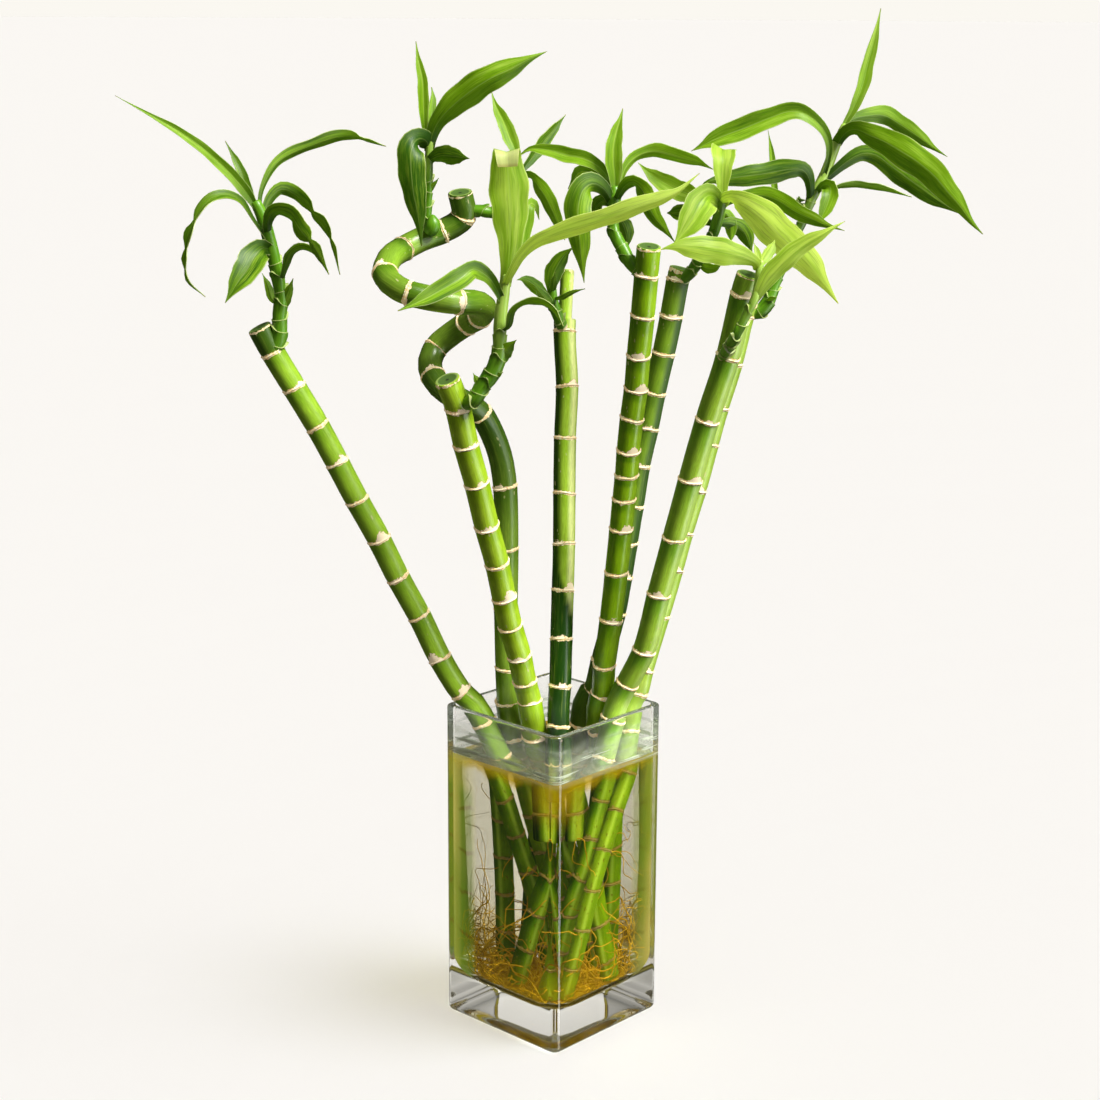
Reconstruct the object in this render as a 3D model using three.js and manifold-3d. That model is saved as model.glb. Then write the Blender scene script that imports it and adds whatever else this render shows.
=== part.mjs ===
// Lucky bamboo: eight cut stalks, one of them trained into a curl, with leafy side shoots.
// They stand in a square glass vase of water, on a mat of brown roots.
// Millimetres, +Z up. The origin is the middle of the vase's underside, the vase shows one
// vertical corner towards -Y, and the photograph was taken from the -Y side, a little above.

import * as THREE from 'three';
import { mergeVertices } from 'three/addons/utils/BufferGeometryUtils.js';
import Module from 'manifold-3d';

const wasm = await Module();
wasm.setup();

// Driving dimensions of the vase, the water and the root mat
const VASE_SIDE = 75;
const VASE_HEIGHT = 161;
const VASE_CORNER = 3.5;
const WALL = 3;
const BASE_THICKNESS = 17;
const FLOOR_ROUND = 14;
const WATER_LEVEL = 135;
const ROOT_ZONE_TOP = 35;
const CLEARANCE = 0.3;

// Driving dimensions of the stalks and the leaves
const RING_RIDGE = 0.5;
const RING_STEP = 1.6;
const STALK_SIDES = 9;
const SHOOT_SIDES = 6;
const BLADE_THICKNESS = 0.7;
const BLADE_FOLD = 0.24;
const HOLE_MARGIN = 1.2;
const HOLE_SIDES = 8;
const HOLE_STEP = 19;

const DEG = Math.PI / 180;

// The camera of the photograph, in a picture of 1100 x 1100 pixels: how far it stands from
// its aim point in mm, its focal length in pixels, its tilt, and how far the vase is turned
// from a view straight onto its corner.
const PHOTO = {
  middle: 550,
  focal: 2201,
  distance: 1054,
  elevation: 14.03 * DEG,
  roll: 0.30 * DEG,
  aimX: -2,
  aimZ: 238,
  turn: 1.64 * DEG,
};

const UP = new THREE.Vector3(0, 0, 1);

// The point that the photograph shows at pixel (px, py), at a depth in mm behind the
// vase's middle. A negative depth is nearer to the viewer.
function seen([px, py, depth = 0], depthOffset = 0) {
  const { middle, focal, distance, elevation, roll, aimX, aimZ, turn } = PHOTO;
  const across = (px - middle) / focal;
  const above = (middle - py) / focal;
  const right = across * Math.cos(roll) - above * Math.sin(roll);
  const up = across * Math.sin(roll) + above * Math.cos(roll);
  const ray = new THREE.Vector3(
    right,
    Math.cos(elevation) + up * Math.sin(elevation),
    up * Math.cos(elevation) - Math.sin(elevation),
  );
  const eye = new THREE.Vector3(
    aimX,
    -distance * Math.cos(elevation),
    aimZ + distance * Math.sin(elevation),
  );
  const reach = (depth + depthOffset - eye.y) / ray.y;
  return eye.addScaledVector(ray, reach).applyAxisAngle(UP, -turn);
}

const viewAxis = new THREE.Vector3(0, 1, 0).applyAxisAngle(UP, -PHOTO.turn);

// Solids and meshes

function solidOf(geometry) {
  const bare = geometry.clone();
  bare.deleteAttribute('normal');
  bare.deleteAttribute('uv');
  const merged = mergeVertices(bare, 1e-5);
  return new wasm.Manifold(new wasm.Mesh({
    numProp: 3,
    vertProperties: new Float32Array(merged.attributes.position.array),
    triVerts: new Uint32Array(merged.index.array),
  }));
}

function geometryOf(solid) {
  const { vertProperties, triVerts } = solid.getMesh();
  const geometry = new THREE.BufferGeometry();
  geometry.setAttribute('position', new THREE.BufferAttribute(new Float32Array(vertProperties), 3));
  geometry.setIndex(new THREE.BufferAttribute(new Uint32Array(triVerts), 1));
  geometry.computeVertexNormals();
  return geometry;
}

// The biggest connected body of a solid. Scraps that a cut leaves loose are dropped.
function mainBody(solid) {
  const bodies = solid.decompose();
  return bodies.reduce((best, body) => (body.volume() > best.volume() ? body : best));
}

function fused(solids) {
  return solids.reduce((whole, next) => whole.add(next));
}

// A closed geometry from rings of points that all have the same count. Both ends are flat.
function loft(rings, mirrorSplit = () => false) {
  const sides = rings[0].length;
  const positions = rings.flat().flatMap((point) => [point.x, point.y, point.z]);
  const faces = [];
  for (let ring = 0; ring < rings.length - 1; ring += 1) {
    for (let side = 0; side < sides; side += 1) {
      const a = ring * sides + side;
      const b = ring * sides + ((side + 1) % sides);
      const c = b + sides;
      const d = a + sides;
      if (mirrorSplit(side)) faces.push(a, b, d, b, c, d);
      else faces.push(a, b, c, a, c, d);
    }
  }
  const last = (rings.length - 1) * sides;
  for (let side = 1; side < sides - 1; side += 1) {
    faces.push(0, side + 1, side);
    faces.push(last, last + side, last + side + 1);
  }
  const geometry = new THREE.BufferGeometry();
  geometry.setAttribute('position', new THREE.Float32BufferAttribute(positions, 3));
  geometry.setIndex(faces);
  return geometry;
}

// The vase: rounded squares, turned 45 degrees, up the outside and down the inside

function roundedSquare(halfSide, corner, z, arcSteps = 3) {
  const points = [];
  for (let quarter = 0; quarter < 4; quarter += 1) {
    const start = quarter * 90 * DEG;
    const middle = (quarter * 90 + 45) * DEG;
    const centre = (halfSide - corner) * Math.SQRT2;
    for (let step = 0; step <= arcSteps; step += 1) {
      const angle = start + (step / arcSteps) * 90 * DEG;
      points.push(new THREE.Vector3(
        centre * Math.cos(middle) + corner * Math.cos(angle),
        centre * Math.sin(middle) + corner * Math.sin(angle),
        z,
      ));
    }
  }
  return points.map((point) => point.applyAxisAngle(UP, 45 * DEG));
}

// The inside of the vase at a height: its floor runs up into the walls in a wide round.
function cavityRing(z, gap = 0) {
  const height = z - BASE_THICKNESS - gap;
  const drop = Math.max(0, FLOOR_ROUND - height);
  const inset = FLOOR_ROUND - Math.sqrt(Math.max(0, FLOOR_ROUND ** 2 - drop ** 2));
  const halfSide = VASE_SIDE / 2 - WALL - inset - gap;
  return roundedSquare(halfSide, VASE_CORNER + inset * 0.8, z);
}

function vaseGeometry() {
  const edge = 1;
  const outer = VASE_SIDE / 2;
  const outside = [
    roundedSquare(outer - edge, VASE_CORNER, 0),
    roundedSquare(outer, VASE_CORNER, edge),
    roundedSquare(outer, VASE_CORNER, VASE_HEIGHT - edge),
    roundedSquare(outer - edge, VASE_CORNER, VASE_HEIGHT),
  ];
  const inside = [roundedSquare(outer - WALL + edge * 0.5, VASE_CORNER, VASE_HEIGHT)];
  inside.push(cavityRing(VASE_HEIGHT - edge));
  const roundSteps = [1, 0.55, 0.28, 0.1, 0.02];
  roundSteps.forEach((share) => inside.push(cavityRing(BASE_THICKNESS + share * FLOOR_ROUND)));
  return loft([...outside, ...inside]);
}

// Tubes

// Rings of a tube along a curve. stations are [share of the curve's length, radius].
function tubeGeometry(curve, stations, sides) {
  let across = new THREE.Vector3(1, 0, 0);
  const rings = stations.map(([share, radius]) => {
    const centre = curve.getPointAt(share);
    const along = curve.getTangentAt(share);
    across = across.sub(along.clone().multiplyScalar(across.dot(along))).normalize();
    const other = along.clone().cross(across);
    return Array.from({ length: sides }, (_, side) => {
      const angle = (side / sides) * Math.PI * 2;
      return centre.clone()
        .addScaledVector(across, radius * Math.cos(angle))
        .addScaledVector(other, radius * Math.sin(angle));
    });
  });
  return loft(rings);
}

// The share of a curve's length that lies nearest to a point
function shareNear(curve, point, samples = 600) {
  let best = 0;
  let bestDistance = Infinity;
  curve.getSpacedPoints(samples).forEach((place, index) => {
    const distance = place.distanceToSquared(point);
    if (distance < bestDistance) {
      bestDistance = distance;
      best = index / samples;
    }
  });
  return best;
}

// The stalks. topPx lists the cut top and then each leaf scar down to the vase's rim, as
// picture points. depth holds how far behind the vase's middle the stalk is at its top and
// at the rim. under lists the stretch inside the vase, in mm, down to the cut foot.
const STALKS = {
  a: {
    radius: 5.6,
    depth: [-22, -1.6],
    topPx: [
      [259, 327], [272, 351], [294, 387], [317, 425], [337, 462], [357, 500],
      [379, 539], [398, 577], [419, 615], [440, 658], [461.5, 692],
    ],
    under: [[-38.6, 0.1, 161], [-18.5, 0, 120], [-7.5, 2.2, 93], [2, 3.6, 68], [9, 3, 43], [14.6, 1.6, 20.5]],
  },
  b: {
    radius: 5.8,
    depth: [-58, -6],
    topPx: [
      [447, 379], [457.7, 407], [465.7, 443.8], [476.7, 483], [486.5, 525], [497, 563],
      [504, 597], [510, 624.5], [519.5, 656], [524.6, 680.5], [530, 701],
    ],
    under: [
      [-11, -6.2, 161], [-5.3, 3.4, 130], [4, 2.6, 99], [8.4, -0.8, 85],
      [13, -5.6, 68], [17.2, -7.6, 50], [24, -8.3, 21],
    ],
  },
  c: {
    radius: 5.8,
    stretch: 10,
    topPx: [
      [460, 192, 16], [463, 217, 19], [443, 231, 18], [422, 239, 14], [403, 249, 7],
      [390, 258, -3], [385, 273, -13], [392, 284, -21], [408.5, 293, -25], [435, 299, -24],
      [459, 302, -19], [475, 302.5, -12], [484, 307, -4], [480, 316, 5], [466, 324, 13],
      [450, 335, 17], [436.5, 347, 17], [430, 362, 12], [433.5, 377, 4], [443, 389, -3],
      [460, 400, -5], [481, 414, 0], [491, 431, 3], [500, 455, 5], [505, 485.5, 6],
      [506.5, 549, 7], [506, 608, 8], [507, 668, 8], [508, 701, 8],
    ],
    ringsPx: [
      [463, 217, 19], [443, 231, 18], [403, 249, 7], [385, 273, -13], [408.5, 293, -25],
      [459, 302, -19], [480, 316, 5], [466, 324, 13], [436.5, 347, 17], [433.5, 377, 4],
      [481, 414, 0], [505, 485.5, 6], [506.5, 549, 7], [506, 608, 8], [507, 668, 8],
    ],
    under: [[-22.5, 8.6, 161], [-17, 12, 120], [-12.2, 16, 67], [-10.5, 18.5, 20]],
  },
  d: {
    radius: 5.4,
    depth: [42, -3],
    neck: { radius: 3.3, px: [567.5, 270] },
    topPx: [
      [564.7, 331], [567, 387], [565, 438], [564.4, 493], [564, 543], [562.7, 590],
      [561.4, 638.7], [560, 685.5],
    ],
    under: [[2.5, -4.4, 161], [2.3, -16.8, 99]],
  },
  e: {
    radius: 5.5,
    depth: [-42, 2.6],
    topPx: [
      [649, 246], [646.4, 273.8], [642.8, 315], [638.7, 355], [636, 388], [632, 417],
      [628.6, 449], [626.6, 474], [624, 498.6], [621, 528], [616.5, 571], [611, 619],
      [604.5, 664], [602, 694],
    ],
    under: [[22, 2.4, 161], [21.8, 8, 125], [20.5, 12, 85], [17.5, 14.8, 20]],
  },
  f: {
    radius: 5.4,
    depth: [4, 14.2],
    topPx: [
      [681, 268], [678, 279], [671.3, 316], [663.7, 353], [654.5, 393], [647.5, 427.6],
      [639.3, 464.6], [633, 504], [627, 541], [621.5, 576], [615, 612], [602, 660], [593, 691],
    ],
    under: [[16.9, 14, 161], [12, 15.8, 125], [7, 16, 85], [2.5, 17.8, 20]],
  },
  g: {
    radius: 5.5,
    depth: [-50, -12.4],
    topPx: [
      [749, 274], [743, 293], [728, 356], [707.3, 419.6], [690.2, 479.3], [674.2, 537.4],
      [658.8, 593.7], [644, 650],
    ],
    under: [
      [29.9, -7.2, 161], [20.8, -9.9, 127], [15.6, -11, 111], [9, -14.4, 86],
      [1.5, -14.5, 68], [-4, -13, 50], [-12, -11, 20.5],
    ],
  },
  h: {
    radius: 5,
    depth: [4, 2.6],
    topPx: [
      [748, 300], [744, 314], [732.5, 362], [718.6, 406.7], [708.4, 443.7], [696.3, 488.7],
      [683.5, 530.7], [673, 569.6], [660, 613.8], [644, 668], [638, 692],
    ],
    under: [
      [38.5, 1.7, 161], [33.3, -3.5, 128], [28, -11.3, 113], [19, -21.3, 86],
      [13.8, -26, 68], [9, -28.5, 50], [0.4, -31, 21],
    ],
  },
};

const UNDERWATER_RINGS = 20;

// The centre line of a stalk, from its cut top to its foot
function stalkPath({ topPx, depth, under, neck }) {
  const above = topPx.map((place) => {
    if (!depth) return seen(place);
    const first = topPx[0][1];
    const last = topPx[topPx.length - 1][1];
    const share = (place[1] - first) / (last - first);
    return seen([place[0], place[1], depth[0] + (depth[1] - depth[0]) * share]);
  });
  if (neck) above.unshift(seen([...neck.px, depth[0] + 8]));
  const below = under.map((place) => new THREE.Vector3(...place));
  return new THREE.CatmullRomCurve3([...above, ...below], false, 'centripetal');
}

// The shares of a stalk's length that carry a leaf scar
function ringShares(stalk, curve) {
  const marks = stalk.ringsPx ?? stalk.topPx.slice(stalk.neck ? 0 : 1);
  const first = stalk.topPx[0][1];
  const last = stalk.topPx[stalk.topPx.length - 1][1];
  const shares = marks.map(([px, py, pz]) => {
    const share = (py - first) / (last - first);
    const depth = stalk.depth ? stalk.depth[0] + (stalk.depth[1] - stalk.depth[0]) * share : pz;
    return shareNear(curve, seen([px, py, depth]));
  });
  const length = curve.getLength();
  let next = shares[shares.length - 1] + UNDERWATER_RINGS / length;
  while (next < 1 - UNDERWATER_RINGS / 2 / length) {
    shares.push(next);
    next += UNDERWATER_RINGS / length;
  }
  return shares;
}

// Each scar is a sharp ridge. The stalk is thinnest just above it and swells to the next.
function stalkStations(stalk, curve, grow = 0) {
  const length = curve.getLength();
  const radius = stalk.radius + grow;
  const stations = [[0, radius - 0.4]];
  ringShares(stalk, curve).forEach((share) => {
    const above = share - RING_STEP / length;
    if (above > 0.004) stations.push([above, radius - 0.15]);
    stations.push([share, radius + RING_RIDGE]);
  });
  stations.push([1, radius - 0.5]);
  if (stalk.neck) {
    stations[0][1] = stalk.neck.radius + grow;
    const shoulder = stations[1];
    stations.splice(1, 0, [shoulder[0] - 3 / length, stalk.neck.radius + grow]);
  }
  return stalk.stretch ? withStretches(stations, stalk.stretch / length) : stations;
}

// Extra stations where a stalk bends between its scars
function withStretches(stations, step) {
  return stations.flatMap((station, index) => {
    if (index === 0) return [station];
    const [fromShare, fromRadius] = stations[index - 1];
    const [toShare, toRadius] = station;
    const count = Math.max(1, Math.round((toShare - fromShare) / step));
    return Array.from({ length: count }, (_, part) => {
      const share = (part + 1) / count;
      return [fromShare + (toShare - fromShare) * share, fromRadius + (toRadius - fromRadius) * share];
    });
  });
}

const stalkCurves = Object.fromEntries(
  Object.entries(STALKS).map(([name, stalk]) => [name, stalkPath(stalk)]),
);

function stalkGeometry(name, grow = 0, sides = STALK_SIDES) {
  const curve = stalkCurves[name];
  return tubeGeometry(curve, stalkStations(STALKS[name], curve, grow), sides);
}

// A plain tube round the stretch of a stalk inside the vase
function holeGeometry(name, margin) {
  const { radius, under } = STALKS[name];
  const curve = stalkCurves[name];
  const rimShare = shareNear(curve, new THREE.Vector3(...under[0]));
  const count = Math.ceil(((1 - rimShare) * curve.getLength()) / HOLE_STEP);
  const stations = Array.from({ length: count + 1 }, (_, index) => (
    [rimShare + ((1 - rimShare) * index) / count, radius + RING_RIDGE + margin]
  ));
  return tubeGeometry(curve, stations, HOLE_SIDES);
}

// The leafy shoots. stemPx is the stem's centre line as picture points, each with its
// offset in depth from the shoot's own depth and its radius in mm. Each leaf's rib starts
// inside the stem. wide is its real width in mm, and roll turns the blade about its rib
// from lying flat in the picture, in degrees. belly is where along its length it is widest.
const SHOOTS = {
  shoot_a: {
    stalk: 'a',
    depth: -22,
    stemPx: [
      [273, 353, 0, 3.4], [279, 338, 0, 3.8], [279.5, 315, 0, 3.3], [281, 298, 0, 3],
      [276, 268, 0, 3], [270, 243, 0, 2.9], [263, 218, 0, 2.3], [258, 205, 0, 1.4],
    ],
    leaves: {
      long_left: {
        rib: [[263, 219, 0], [243.3, 188.7, -2], [214, 158, -6], [183, 134, -12], [115, 95.5, -24]],
        wide: 8, roll: 15, belly: 0.3,
      },
      young: {
        rib: [[262, 217, 1], [249, 193, 4], [240.4, 169.6, 6], [233, 155, 8], [225.3, 141, 9]],
        wide: 4.5, roll: 20, belly: 0.45,
      },
      right_high: {
        rib: [
          [263, 222, 1], [259.8, 206, 4], [262, 188.7, 7], [277, 162.3, 13], [309.4, 146, 22],
          [346, 136, 30], [386, 146, 36],
        ],
        wide: 9.5, roll: 42, belly: 0.6,
      },
      left_droop: {
        rib: [
          [267, 241, -1], [253, 219, -6], [240, 200, -12], [224, 194.5, -18], [208, 200.5, -23],
          [193.5, 223.9, -28], [185.4, 256.2, -30], [188, 279.6, -31], [205.2, 297.2, -32],
        ],
        wide: 8, roll: 55, belly: 0.7,
      },
      right_droop: {
        rib: [
          [269, 238, 1], [265.4, 212, 5], [271, 197.5, 8], [281.5, 188.7, 11], [297.6, 196, 16],
          [315, 215, 20], [330, 237, 23], [340.2, 274.5, 25],
        ],
        wide: 8.5, roll: 35, belly: 0.5,
      },
      right_low: {
        rib: [
          [270, 244, -1], [267.6, 224, -4], [273, 212, -7], [290, 214, -13], [300.6, 229.8, -17],
          [314, 246, -20], [329.2, 274.5, -22],
        ],
        wide: 10, roll: 20, belly: 0.5,
      },
      right_small: {
        rib: [
          [280, 286, 0], [285.9, 266.4, -5], [290.3, 254.7, -8], [299, 248, -11], [312, 251, -15],
          [328.4, 270.8, -18],
        ],
        wide: 6, roll: 40, belly: 0.6,
      },
      left_broad: {
        rib: [
          [272, 250, 0], [262, 248, -6], [253.6, 258, -12], [247, 270, -16], [238.9, 281, -19],
          [225.1, 303.1, -22],
        ],
        wide: 13, roll: 8, belly: 0.4,
      },
      bract_left: {
        rib: [[280, 305, 0], [272.7, 298.7, -3], [268, 285, -4], [262, 273, -4]],
        wide: 4, roll: 20, belly: 0.4,
      },
      bract_right: {
        rib: [[281, 312, 0], [287, 296, -2], [293.2, 278.2, -4]],
        wide: 5, roll: 10, belly: 0.3,
      },
    },
  },
  shoot_b: {
    stalk: 'b',
    depth: -60,
    stemPx: [
      [462, 405, 6, 3], [474, 400, 0, 3.5], [481, 388, 0, 3.6], [490, 376, 0, 3.9],
      [497, 362, 0, 3.6], [499.5, 346, 0, 3.1], [500, 328, 0, 3], [501.5, 309, 0, 2.8],
      [504, 293, 0, 2.5], [507, 274, -1, 1.9],
    ],
    leaves: {
      broad_upright: {
        rib: [
          [505, 288, 0], [508, 265, -3], [510, 241.4, -5], [510, 215, -6], [509.3, 190, -6],
          [507.5, 170, -4], [506.5, 156, 2], [507, 152, 11], [508, 160, 20],
        ],
        wide: 18, roll: 3, belly: 0.62, neck: 0.28,
      },
      folded: {
        rib: [
          [505, 289, 1], [513, 265, 4], [520.8, 250, 7], [525.9, 222.7, 10], [530, 204, 13],
          [536, 207, 17], [539, 219.6, 20],
        ],
        wide: 6.5, roll: 20, belly: 0.6,
      },
      long_right: {
        rib: [
          [505, 290, -1], [512, 274, -6], [522, 256, -10], [535, 244, -13], [551.4, 237, -15],
          [571.8, 229.8, -16], [592.2, 223.7, -16], [612.7, 216.6, -15], [640, 206.5, -13],
          [661.4, 199.5, -10], [676.7, 192.7, -7], [699.7, 173.3, -2],
        ],
        wide: 11, roll: 30, belly: 0.55,
      },
      left_arch: {
        rib: [
          [503, 303, 0], [497, 290, -5], [491, 280, -10], [482, 272.5, -15], [472.9, 269, -19],
          [461, 278, -24], [438.5, 291.4, -29], [421.9, 300.3, -32], [397.7, 310.8, -35],
        ],
        wide: 9, roll: 22, belly: 0.6,
      },
      right_arch: {
        rib: [
          [500.5, 333, 0], [508.5, 327, -4], [513, 312, -8], [524, 304, -11], [540, 303, -14],
          [553.6, 310.6, -17], [563.5, 326, -19],
        ],
        wide: 7, roll: 48, belly: 0.6,
      },
      sheath: {
        rib: [[493, 368, 0], [503, 355, -2], [510, 346, -3], [516.5, 340, -4]],
        wide: 7.5, roll: 10, belly: 0.4,
      },
      bract_low: {
        rib: [[482, 387, 0], [477, 380, -2], [473, 373, -2]],
        wide: 3.5, roll: 10, belly: 0.3,
      },
      bract_right: {
        rib: [[492, 374, 0], [498, 375, -3], [503, 372.5, -4]],
        wide: 3, roll: 10, belly: 0.3,
      },
    },
  },
  shoot_c_high: {
    stalk: 'c',
    depth: 14,
    stemPx: [
      [427, 238, 0, 2.4], [427, 215, -2, 2.2], [428, 200, -2, 1.9], [428.5, 174, -2, 2.1],
      [429, 155, -2, 1.9], [430, 140, -2, 1.7], [431, 129, -2, 1.2],
    ],
    knob: [[430, 233, -6, 2.8], [432.5, 227, -7, 3.9], [433, 220, -7, 3.6], [432, 214.5, -7, 1.8]],
    leaves: {
      upright: {
        rib: [
          [430, 144, -2], [425.5, 131, -3], [423.8, 107, -3], [422.5, 80.2, -2], [418.5, 60, 0],
          [415.8, 41.3, 2],
        ],
        wide: 5, roll: 0, belly: 0.45,
      },
      young: {
        rib: [[430, 142, -2], [430.7, 123, 1], [432, 109.6, 3], [433.2, 97.6, 5], [431.6, 86.9, 7]],
        wide: 4, roll: 20, belly: 0.5,
      },
      broad_right: {
        rib: [
          [429.5, 153, -2], [431.2, 139, -4], [436, 125.7, -6], [445.3, 113, -9],
          [469.4, 92.2, -14], [492, 77.5, -16], [509.5, 69.5, -15], [527, 60.1, -13],
          [547, 51.4, -10],
        ],
        wide: 13.5, roll: 8, belly: 0.48,
      },
      left_hanging: {
        rib: [
          [429.5, 145, -2], [425, 134.5, -6], [417, 134, -11], [411.8, 142, -15], [410.4, 158, -18],
          [411.8, 176.6, -19], [413.8, 194, -19], [417.8, 214, -18], [421.8, 246.2, -16],
        ],
        wide: 13, roll: 12, belly: 0.42,
      },
      right_small: {
        rib: [
          [428.7, 166, -2], [431, 160, -4], [440, 156, -8], [447.9, 155.8, -11],
          [469.4, 158.5, -16],
        ],
        wide: 9.5, roll: 8, belly: 0.5,
      },
      bract: {
        rib: [[428.2, 194, -2], [432, 187, -3], [438.6, 177.9, -4]],
        wide: 2.4, roll: 20, belly: 0.3,
      },
    },
  },
  shoot_c_tip: {
    stalk: 'c',
    depth: 18,
    stemPx: [
      [465, 213, 0, 2.2], [478, 210.5, 0, 2.9], [490, 212.5, 1, 2.7], [501, 211, 2, 2.7],
      [510, 202, 3, 2.4], [515, 188, 3, 2.3], [517, 172, 3, 2.2], [517, 162, 3, 1.5],
    ],
    leaves: {
      high_left: {
        rib: [
          [517, 168, 3], [514.9, 150, 5], [509.5, 136.4, 8], [504.2, 123, 11], [496.2, 107, 15],
          [491.6, 92, 18],
        ],
        wide: 7, roll: 12, belly: 0.4,
      },
      high_right: {
        rib: [
          [517, 176, 3], [529, 161.4, 9], [537, 150, 14], [545.3, 139, 19], [554.5, 127.8, 23],
          [565.7, 114.5, 28],
        ],
        wide: 7, roll: 25, belly: 0.5,
      },
      low_right: {
        rib: [
          [515.5, 186, 3], [524, 176, -2], [531, 176, -6], [537.1, 183.9, -10], [545.3, 196.1, -14],
          [553.5, 212.4, -18], [559.6, 226.7, -21], [565, 240, -24],
        ],
        wide: 7.5, roll: 20, belly: 0.55,
      },
    },
  },
  shoot_d: {
    stalk: 'd',
    depth: 40,
    stemPx: [
      [563, 328, -1, 2.8], [557, 313, -4, 2.8], [553, 300, -5, 2.4], [553, 288, -5, 1.7],
    ],
    leaves: {
      broad: {
        rib: [
          [553.2, 297, -5], [551.7, 288, -6], [553, 276, -7], [557.5, 265, -8], [565, 254, -9],
          [573, 247.4, -10],
        ],
        wide: 9, roll: 10, belly: 0.45,
      },
      left: {
        rib: [[553, 302, -5], [544, 294, -8], [533, 284, -11], [524, 279, -14], [516.7, 280, -17]],
        wide: 6.5, roll: 15, belly: 0.45,
      },
      left_low: {
        rib: [[556, 311, -4], [549, 303, -9], [541, 293, -12], [534, 285, -14]],
        wide: 5.5, roll: 15, belly: 0.45,
      },
      thin_right: {
        rib: [[553.5, 299, -5], [562, 297.5, -11], [573, 292, -13], [585, 288.5, -13]],
        wide: 2.6, roll: 15, belly: 0.4,
      },
      small: {
        rib: [[553, 293, -5], [553.5, 284, -10], [555, 272, -13]],
        wide: 3.5, roll: 10, belly: 0.4,
      },
    },
  },
  shoot_e: {
    stalk: 'e',
    depth: -38,
    stemPx: [
      [643, 275, -2, 2.8], [634, 267, 0, 2.9], [627, 257, 3, 3], [621, 246, 6, 3],
      [615.5, 236, 9, 2.7], [613, 223, 12, 2.5], [613.7, 210, 15, 2.8], [614.7, 197, 17, 3],
      [615, 186, 18, 2],
    ],
    leaves: {
      upright: {
        rib: [
          [614.7, 198, 17], [615, 176.7, 18], [613.7, 161.4, 18], [613.7, 147, 19],
          [616.7, 130.8, 21], [619.8, 120.6, 22], [622.9, 108.4, 24],
        ],
        wide: 7.8, roll: 5, belly: 0.42,
      },
      long_left: {
        rib: [
          [614.5, 196, 17], [608, 178, 20], [600, 168, 22], [590, 161, 24], [578, 157, 26],
          [566.7, 155, 28], [553.5, 151.2, 29], [541, 149, 30], [529, 149, 31], [517.8, 157, 32],
        ],
        wide: 7.2, roll: 12, belly: 0.5,
      },
      folded_left: {
        rib: [
          [613.8, 200, 17], [604, 183, 23], [594, 175, 27], [584, 171, 30], [578, 173, 31],
          [573, 181, 31], [568, 189, 31],
        ],
        wide: 8, roll: 20, belly: 0.45,
      },
      broad_left: {
        rib: [
          [613.8, 204, 16], [603, 188, 10], [592, 183.5, 6], [583, 190, 3], [578.5, 205, 1],
          [578, 222.7, 0], [579.5, 238, 0], [580.5, 250, 1], [584.2, 283, 3],
        ],
        wide: 12.5, roll: 5, belly: 0.45,
      },
      right_arch: {
        rib: [
          [615, 197, 17], [620.6, 183.5, 20], [623.7, 171.2, 22], [630.8, 161, 24], [641, 154, 26],
          [653.3, 151, 28], [667.6, 154, 29], [681.8, 158, 30], [697, 162, 31], [713, 169, 32],
        ],
        wide: 8, roll: 38, belly: 0.65,
      },
      right_droop: {
        rib: [
          [614.5, 205, 16], [620.6, 192, 12], [626, 185, 9], [634, 182, 6], [643, 190.6, 4],
          [648, 203, 3], [654, 216, 2], [661.4, 225.3, 1], [670.6, 236.5, 1], [675, 242, 1],
        ],
        wide: 8.3, roll: 15, belly: 0.5,
      },
      back_right: {
        rib: [[613.6, 214, 15], [620, 220, 21], [625, 230, 26], [628, 248, 30]],
        wide: 8, roll: 10, belly: 0.6,
      },
      back_left: {
        rib: [[614, 207, 15], [604, 201, 20], [597, 206, 23], [592, 218, 26]],
        wide: 7, roll: 10, belly: 0.5,
      },
    },
  },
  shoot_f: {
    stalk: 'f',
    depth: 2,
    stemPx: [
      [679, 283, 2, 2.6], [690, 273, -4, 2.8], [698, 262, -8, 2.7], [706, 249, -12, 2.6],
      [713, 234, -16, 2.6], [718, 218, -20, 2.6], [721, 204, -23, 2.5], [722.5, 194, -24, 1.8],
    ],
    leaves: {
      left: {
        rib: [
          [720.5, 207, -22], [710, 201, -16], [698, 198, -11], [686, 193, -8], [676.7, 189.6, -6],
          [661.4, 181.4, -4], [647, 171.2, -3], [638, 162.6, -3],
        ],
        wide: 9.5, roll: 8, belly: 0.55,
      },
      broad_left: {
        rib: [
          [720.5, 205, -23], [714, 196, -28], [707, 196, -33], [701, 203, -37], [695, 214, -40],
          [688, 225.3, -42], [680, 236, -43], [674, 244, -44],
        ],
        wide: 14, roll: 5, belly: 0.5,
      },
      upright: {
        rib: [
          [721.5, 203, -23], [722.5, 192, -25], [722.5, 181, -26], [722.5, 171, -26],
          [723, 161, -25], [723, 152, -21], [724, 149.5, -14], [725, 155, -6],
        ],
        wide: 11.5, roll: 3, belly: 0.68, neck: 0.3,
      },
      long_right: {
        rib: [
          [720.5, 209, -22], [725, 200, -27], [732, 199, -30], [742, 203, -32], [752.7, 209.7, -34],
          [768, 223, -36], [782, 237.2, -37], [797.4, 251.2, -38], [811.4, 266.5, -38],
          [822.9, 281.8, -38], [838.2, 303.5, -38],
        ],
        wide: 16, roll: 4, belly: 0.42,
      },
      second_right: {
        rib: [
          [720, 208, -21], [733, 200, -15], [748, 196, -12], [765, 196, -11], [779.5, 201.5, -12],
          [794.8, 211.5, -14], [811.4, 219, -16], [825.4, 225, -17], [844.6, 230.8, -18],
        ],
        wide: 9, roll: 22, belly: 0.5,
      },
      hanging: {
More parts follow.
